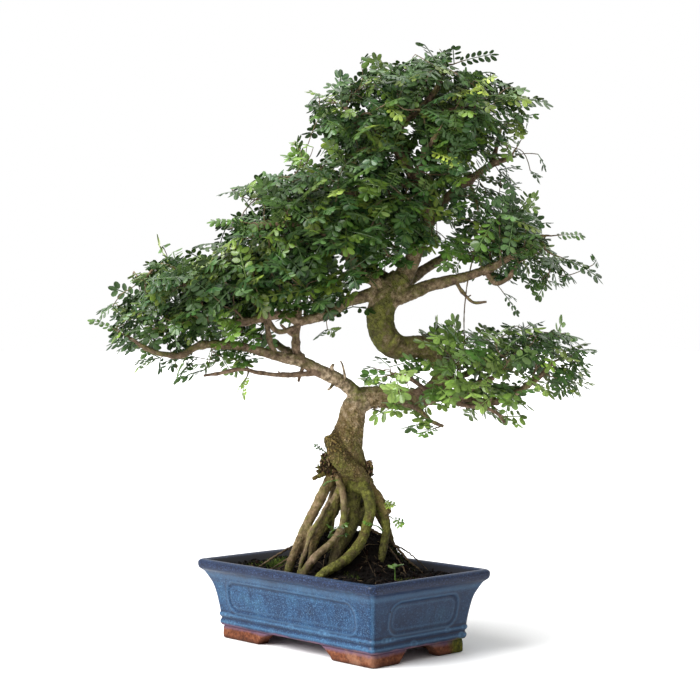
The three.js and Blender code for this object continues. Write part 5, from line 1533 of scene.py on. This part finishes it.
def tuft_leaves(draw, spot, way, tone, low, high):
    """Compound leaves that spread from a twig's end towards the light."""
    across, depth = to_front(spot)
    outward = unit(from_front([across - CANOPY_CENTRE, 2.5 * depth, 0]) + 1e-6)
    aside = unit(np.cross(way, UP) + 1e-6)
    above = np.cross(aside, way)
    around = 2 * math.pi * draw()
    length, width, first, most = GROWN[tone]
    leaves = []
    for number in range((2 if tone == "light" else 3) + (draw() > 0.6)):
        around += 2.4 + 0.5 * (draw() - 0.5)
        spread = math.radians(18 if number == 0 else 48 + 30 * draw())
        beside = aside * math.cos(around) + above * math.sin(around)
        heading = way * math.cos(spread) + beside * math.sin(spread)
        heading = unit(heading * [1, 1, 0.6] + 0.25 * outward)
        light = UP + 0.7 * outward + 0.8 * any_way(draw)
        pairs = max(3, most - int(draw() * 3))
        size = 0.8 + 0.4 * draw()
        basis = leaf_basis(heading, light, 0.5 * (draw() - 0.5))
        leaf_tone = "young" if tone in ("deep", "green") and draw() < YOUNG_SHARE else tone
        colour = any_tone(LEAF_COLOURS[leaf_tone], draw()) * (0.8 + 0.4 * draw())
        arch = 0.08 + 0.25 * draw()
        while pairs > 1:
            reach = (first + width * LEAFLET_STEP * (pairs - 1) + length) * size
            ends = spot + np.array(LEAF_REACHES) * reach * basis[0]
            if (out_of_clumps(ends) < LEAF_PAST_CLUMP).all():
                break
            pairs -= 1
        if pairs > 1 and (ends[2] >= low).all() and (ends[2] <= high).all():
            leaves.append((leaf_tone, pairs, spot, basis, size, arch, colour))
    return leaves


def foliage(leaf, bark):
    """All sprays: the part's own leaves where they stand, and what grows round them."""
    plans = [spray_plan(number, limb, place, tip) for number, (limb, place, _, tip) in enumerate(SPRAYS)]
    spots, tones = tuft_spots()
    twig_paths, tufts = grow_twigs(plans, spots)
    low, high = np.array(CAD_BOX) / MM + [[-LEAF_PAST_BOX], [LEAF_PAST_BOX]]
    shapes = {key: grown_leaf(*key) for key in itertools.product(GROWN, range(2, 6), range(VARIANTS))}
    draw = seeded_draws(303)
    leaves = [[] for _ in SPRAYS]
    for spot, tone, (owner, way) in zip(spots, tones, tufts):
        leaves[owner] += tuft_leaves(draw, spot, way, tone, low, high)
    for number, (_, _, tone, _) in enumerate(SPRAYS):
        name = f"spray_{number + 1:02d}"
        twig, _, _, _, side, scale, droop = plans[number]
        basis = own_stance(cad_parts[name], plans[number])
        own = own_leaves(side, FINE_LEAF, FINE_END, FINE_SIDE, draw)
        shown = [placed(own, twig[-1], basis, scale, droop, linear(LEAF_COLOURS[tone][number % 3])[:3])]
        for grown_tone, pairs, *stance in leaves[number]:
            shown.append(placed(shapes[grown_tone, pairs, int(VARIANTS * draw())], *stance))
        piece = leafy_piece(f"leaves_{number + 1:02d}", shown, leaf)
        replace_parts(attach(piece, "root"), name)
        # The spray's own twig runs on into the stalk of its end leaf
        stalk = twig[-1] + bent(END_LEAF["first"] * np.array([[0.5, 0, 0], [1, 0, 0]]), scale, droop) @ basis
        radii = np.linspace(TWIG["rootRadius"], TWIG["tipRadius"], len(twig))
        paths = [(path, radii) for path, radii, owner in twig_paths if owner == number]
        paths.append((np.vstack([twig, stalk]), np.append(radii, STALK_RADII)))
        twigs = tubes(f"twigs_{number + 1:02d}", paths, 0, bark)
        speck = 0.5 + 0.5 * lumps(points_of(twigs), 12, 5.5)
        paint(twigs, "growth", np.column_stack([0.45 * speck, 0 * speck, 0.4 * (1 - speck)]))
        paint(twigs, "age", [0.8, 0, 0])
        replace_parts(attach(twigs, "root"), name)


# Small plants and root fibre

def little_shoot(draw, foot, tip, count, size, tone):
    """A thin stem with a few small compound leaves."""
    foot, tip = from_front([foot, tip])
    middle = (foot + tip) / 2 + UP * 2
    path = curve_at([foot, middle, tip], np.linspace(0, 1, 7))
    leaves = []
    for number in range(count):
        heading = turned(unit(unit(tip - middle) + 0.2 * UP), UP, (number - (count - 1) / 2) * 1.1)
        colour = any_tone(LEAF_COLOURS[tone], draw()) * (0.9 + 0.4 * draw())
        axes = leaf_basis(heading, UP + 0.5 * from_front([0, -1, 0]), draw() - 0.5)
        reach = size * (0.85 + 0.3 * draw())
        leaves.append(placed(grown_leaf(tone, 3, 0), path[-1 - number % 2], axes, reach, 0.2, colour))
    return (path, np.linspace(1.1, 0.6, 7)), leaves


def round_seedling():
    """The seedling beside the roots: its stem and round leaves."""
    foot = np.array([SEEDLING["across"], SEEDLING["depth"], SEEDLING["foot"]])
    stem = from_front([foot, foot + [0.4, 0, 10], foot + [0, 0, SEEDLING["height"]]])
    stem = curve_at(stem, np.linspace(0, 1, 8))
    lone = LeafShape()
    lone.leaflet(0, 0, 0, 2 * SEEDLING["leaf"], 1.6 * SEEDLING["leaf"])
    leaves = []
    for number in range(6):
        angle = 2 * math.pi * number / 4 + 0.8 * (number > 3)
        heading = np.array([math.cos(angle), math.sin(angle), math.tan(math.radians(SEEDLING["tilt"]))])
        colour = 0.7 * np.array(linear(LEAF_COLOURS["green"][number % 4])[:3])
        spot = stem[-1] - UP * (number % 4)
        leaves.append(placed(lone.arrays(), spot, leaf_basis(heading, UP, 0), 1, 0.1, colour))
    return (stem, np.full(8, SEEDLING["radius"])), leaves


def small_plants(leaf):
    """Leaves and stems of the sprigs on roots and soil, and of the seedling beside the roots."""
    draw = seeded_draws(12)
    made = []
    for name, shoots in (("sprigs", [little_shoot(draw, *sprig) for sprig in SPRIGS]),
                         ("seedling_plant", [round_seedling()])):
        piece = leafy_piece(f"{name}_leaves", [one for _, leaves in shoots for one in leaves], leaf)
        stems = tubes(f"{name}_stems", [stem for stem, _ in shoots], 1, leaf)
        paint(stems, "tint", linear(STEM_COLOUR)[:3])
        paint(stems, "blade", [0.5, 0.5, 0.5])
        made.append((piece, stems))
    return made


def bark_mats(material):
    """Dark matted root fibre, old bark and moss, packed where roots leave the trunk."""
    draw = seeded_draws(64)
    places, tints = [], []
    for across, depth, height, wide, tall, count in MATS:
        for _ in range(count):
            spot = [across, depth, height] + unit(any_way(draw)) * draw() ** 0.5 * [wide, wide, tall]
            basis = any_basis(draw) * (0.7 + 1.1 * draw()) * [[1.2 + 2 * draw()], [0.9], [0.7]]
            places.append((from_front(spot), basis))
            tints.append(any_tone(MAT_COLOURS, draw()) * (0.6 + 0.8 * draw()))
    return copies("bark_mats", *crumb_shape(), places, tints, material)


# Scene

def studio():
    """A pale floor, soft light from the upper left, and the photograph's camera."""
    bpy.ops.object.select_all(action="DESELECT")
    bpy.ops.mesh.primitive_plane_add(size=400, location=(0, 0, 0))
    floor = bpy.context.view_layer.objects.active
    floor.name = "pale_floor"
    paper, place = new_material("matt_white_paper")
    tooth = add(paper, "TexNoise", {"Vector": place, "Scale": 300})
    tone = add(paper, "ValToRGB", [tooth], [(0.3, "f3f3f3"), (0.7, "f6f6f6")])
    coat(floor, surface(paper, Base_Color=tone, Roughness=0.9), smooth=False)
    world = bpy.data.worlds.new("white_room")
    world.use_nodes = True
    world.node_tree.nodes.clear()
    # The backdrop looks white, and the room behind the lamps throws back less light than that
    seen = add(world, "LightPath")
    bright = add(world, "Math", [seen, seen.node.outputs["Is Glossy Ray"]], operation="MAXIMUM")
    level = add(world, "MapRange", (bright, 0, 1, ROOM_LIGHT, 1))
    add(world, "OutputWorld", [add(world, "Background", {"Color": "ffffff", "Strength": level})])
    scene = bpy.context.scene
    scene.world = world
    for name, across, depth, height, wide, strength in LIGHTS:
        data = bpy.data.lights.new(name, "SUN")
        data.angle = math.radians(wide)
        data.energy = strength
        lamp = piece_of(name, data)
        lamp.location = from_front([across, depth, height]) * MM
        lamp.rotation_euler = (-lamp.location).to_track_quat("-Z", "Y").to_euler()
    data = bpy.data.cameras.new("photo_camera")
    data.lens = CAMERA_LENS
    data.sensor_width = CAMERA_SENSOR
    data.clip_end = 1000
    camera = piece_of("photo_camera", data)
    camera.location = from_front([CAMERA_ACROSS, -CAMERA_AWAY, CAMERA_HEIGHT]) * MM
    camera.rotation_euler = (math.radians(90), 0, FRONT_TURN)
    scene.camera = camera
    scene.view_settings.view_transform = "Standard"


def dress():
    glaze, bark, leaf = glaze_material(), bark_material(), leaf_material()
    earth, moss, plastic = soil_material(), moss_material(), mesh_plastic_material()
    for piece in (pot_wall(glaze), pot_floor(glaze), pot_feet(glaze)):
        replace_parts(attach(piece, "root"), "pot")
    for name in ("drain_mesh_left", "drain_mesh_right"):
        coat(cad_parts[name], plastic, smooth=False)
    for piece in (soil_bed(earth), soil_crumbs(earth), fine_roots(bark), moss_on_soil(moss), weeds(moss)):
        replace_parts(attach(piece, "root"), "soil")
    samples = wood_samples()
    tree = finder([spot for spot, *_ in samples])
    for wood in (stout_wood(bark), slim_wood(bark)):
        paint_wood(wood, samples, tree)
        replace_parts(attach(wood, "root"), "tree")
    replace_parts(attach(bark_mats(moss), "root"), "tree")
    foliage(leaf, bark)
    (sprigs, sprig_stems), (seedling, seedling_stem) = small_plants(leaf)
    for piece in (sprigs, sprig_stems):
        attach(piece, "root")
    for piece in (seedling, seedling_stem):
        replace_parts(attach(piece, "root"), "seedling")


dress()
studio()
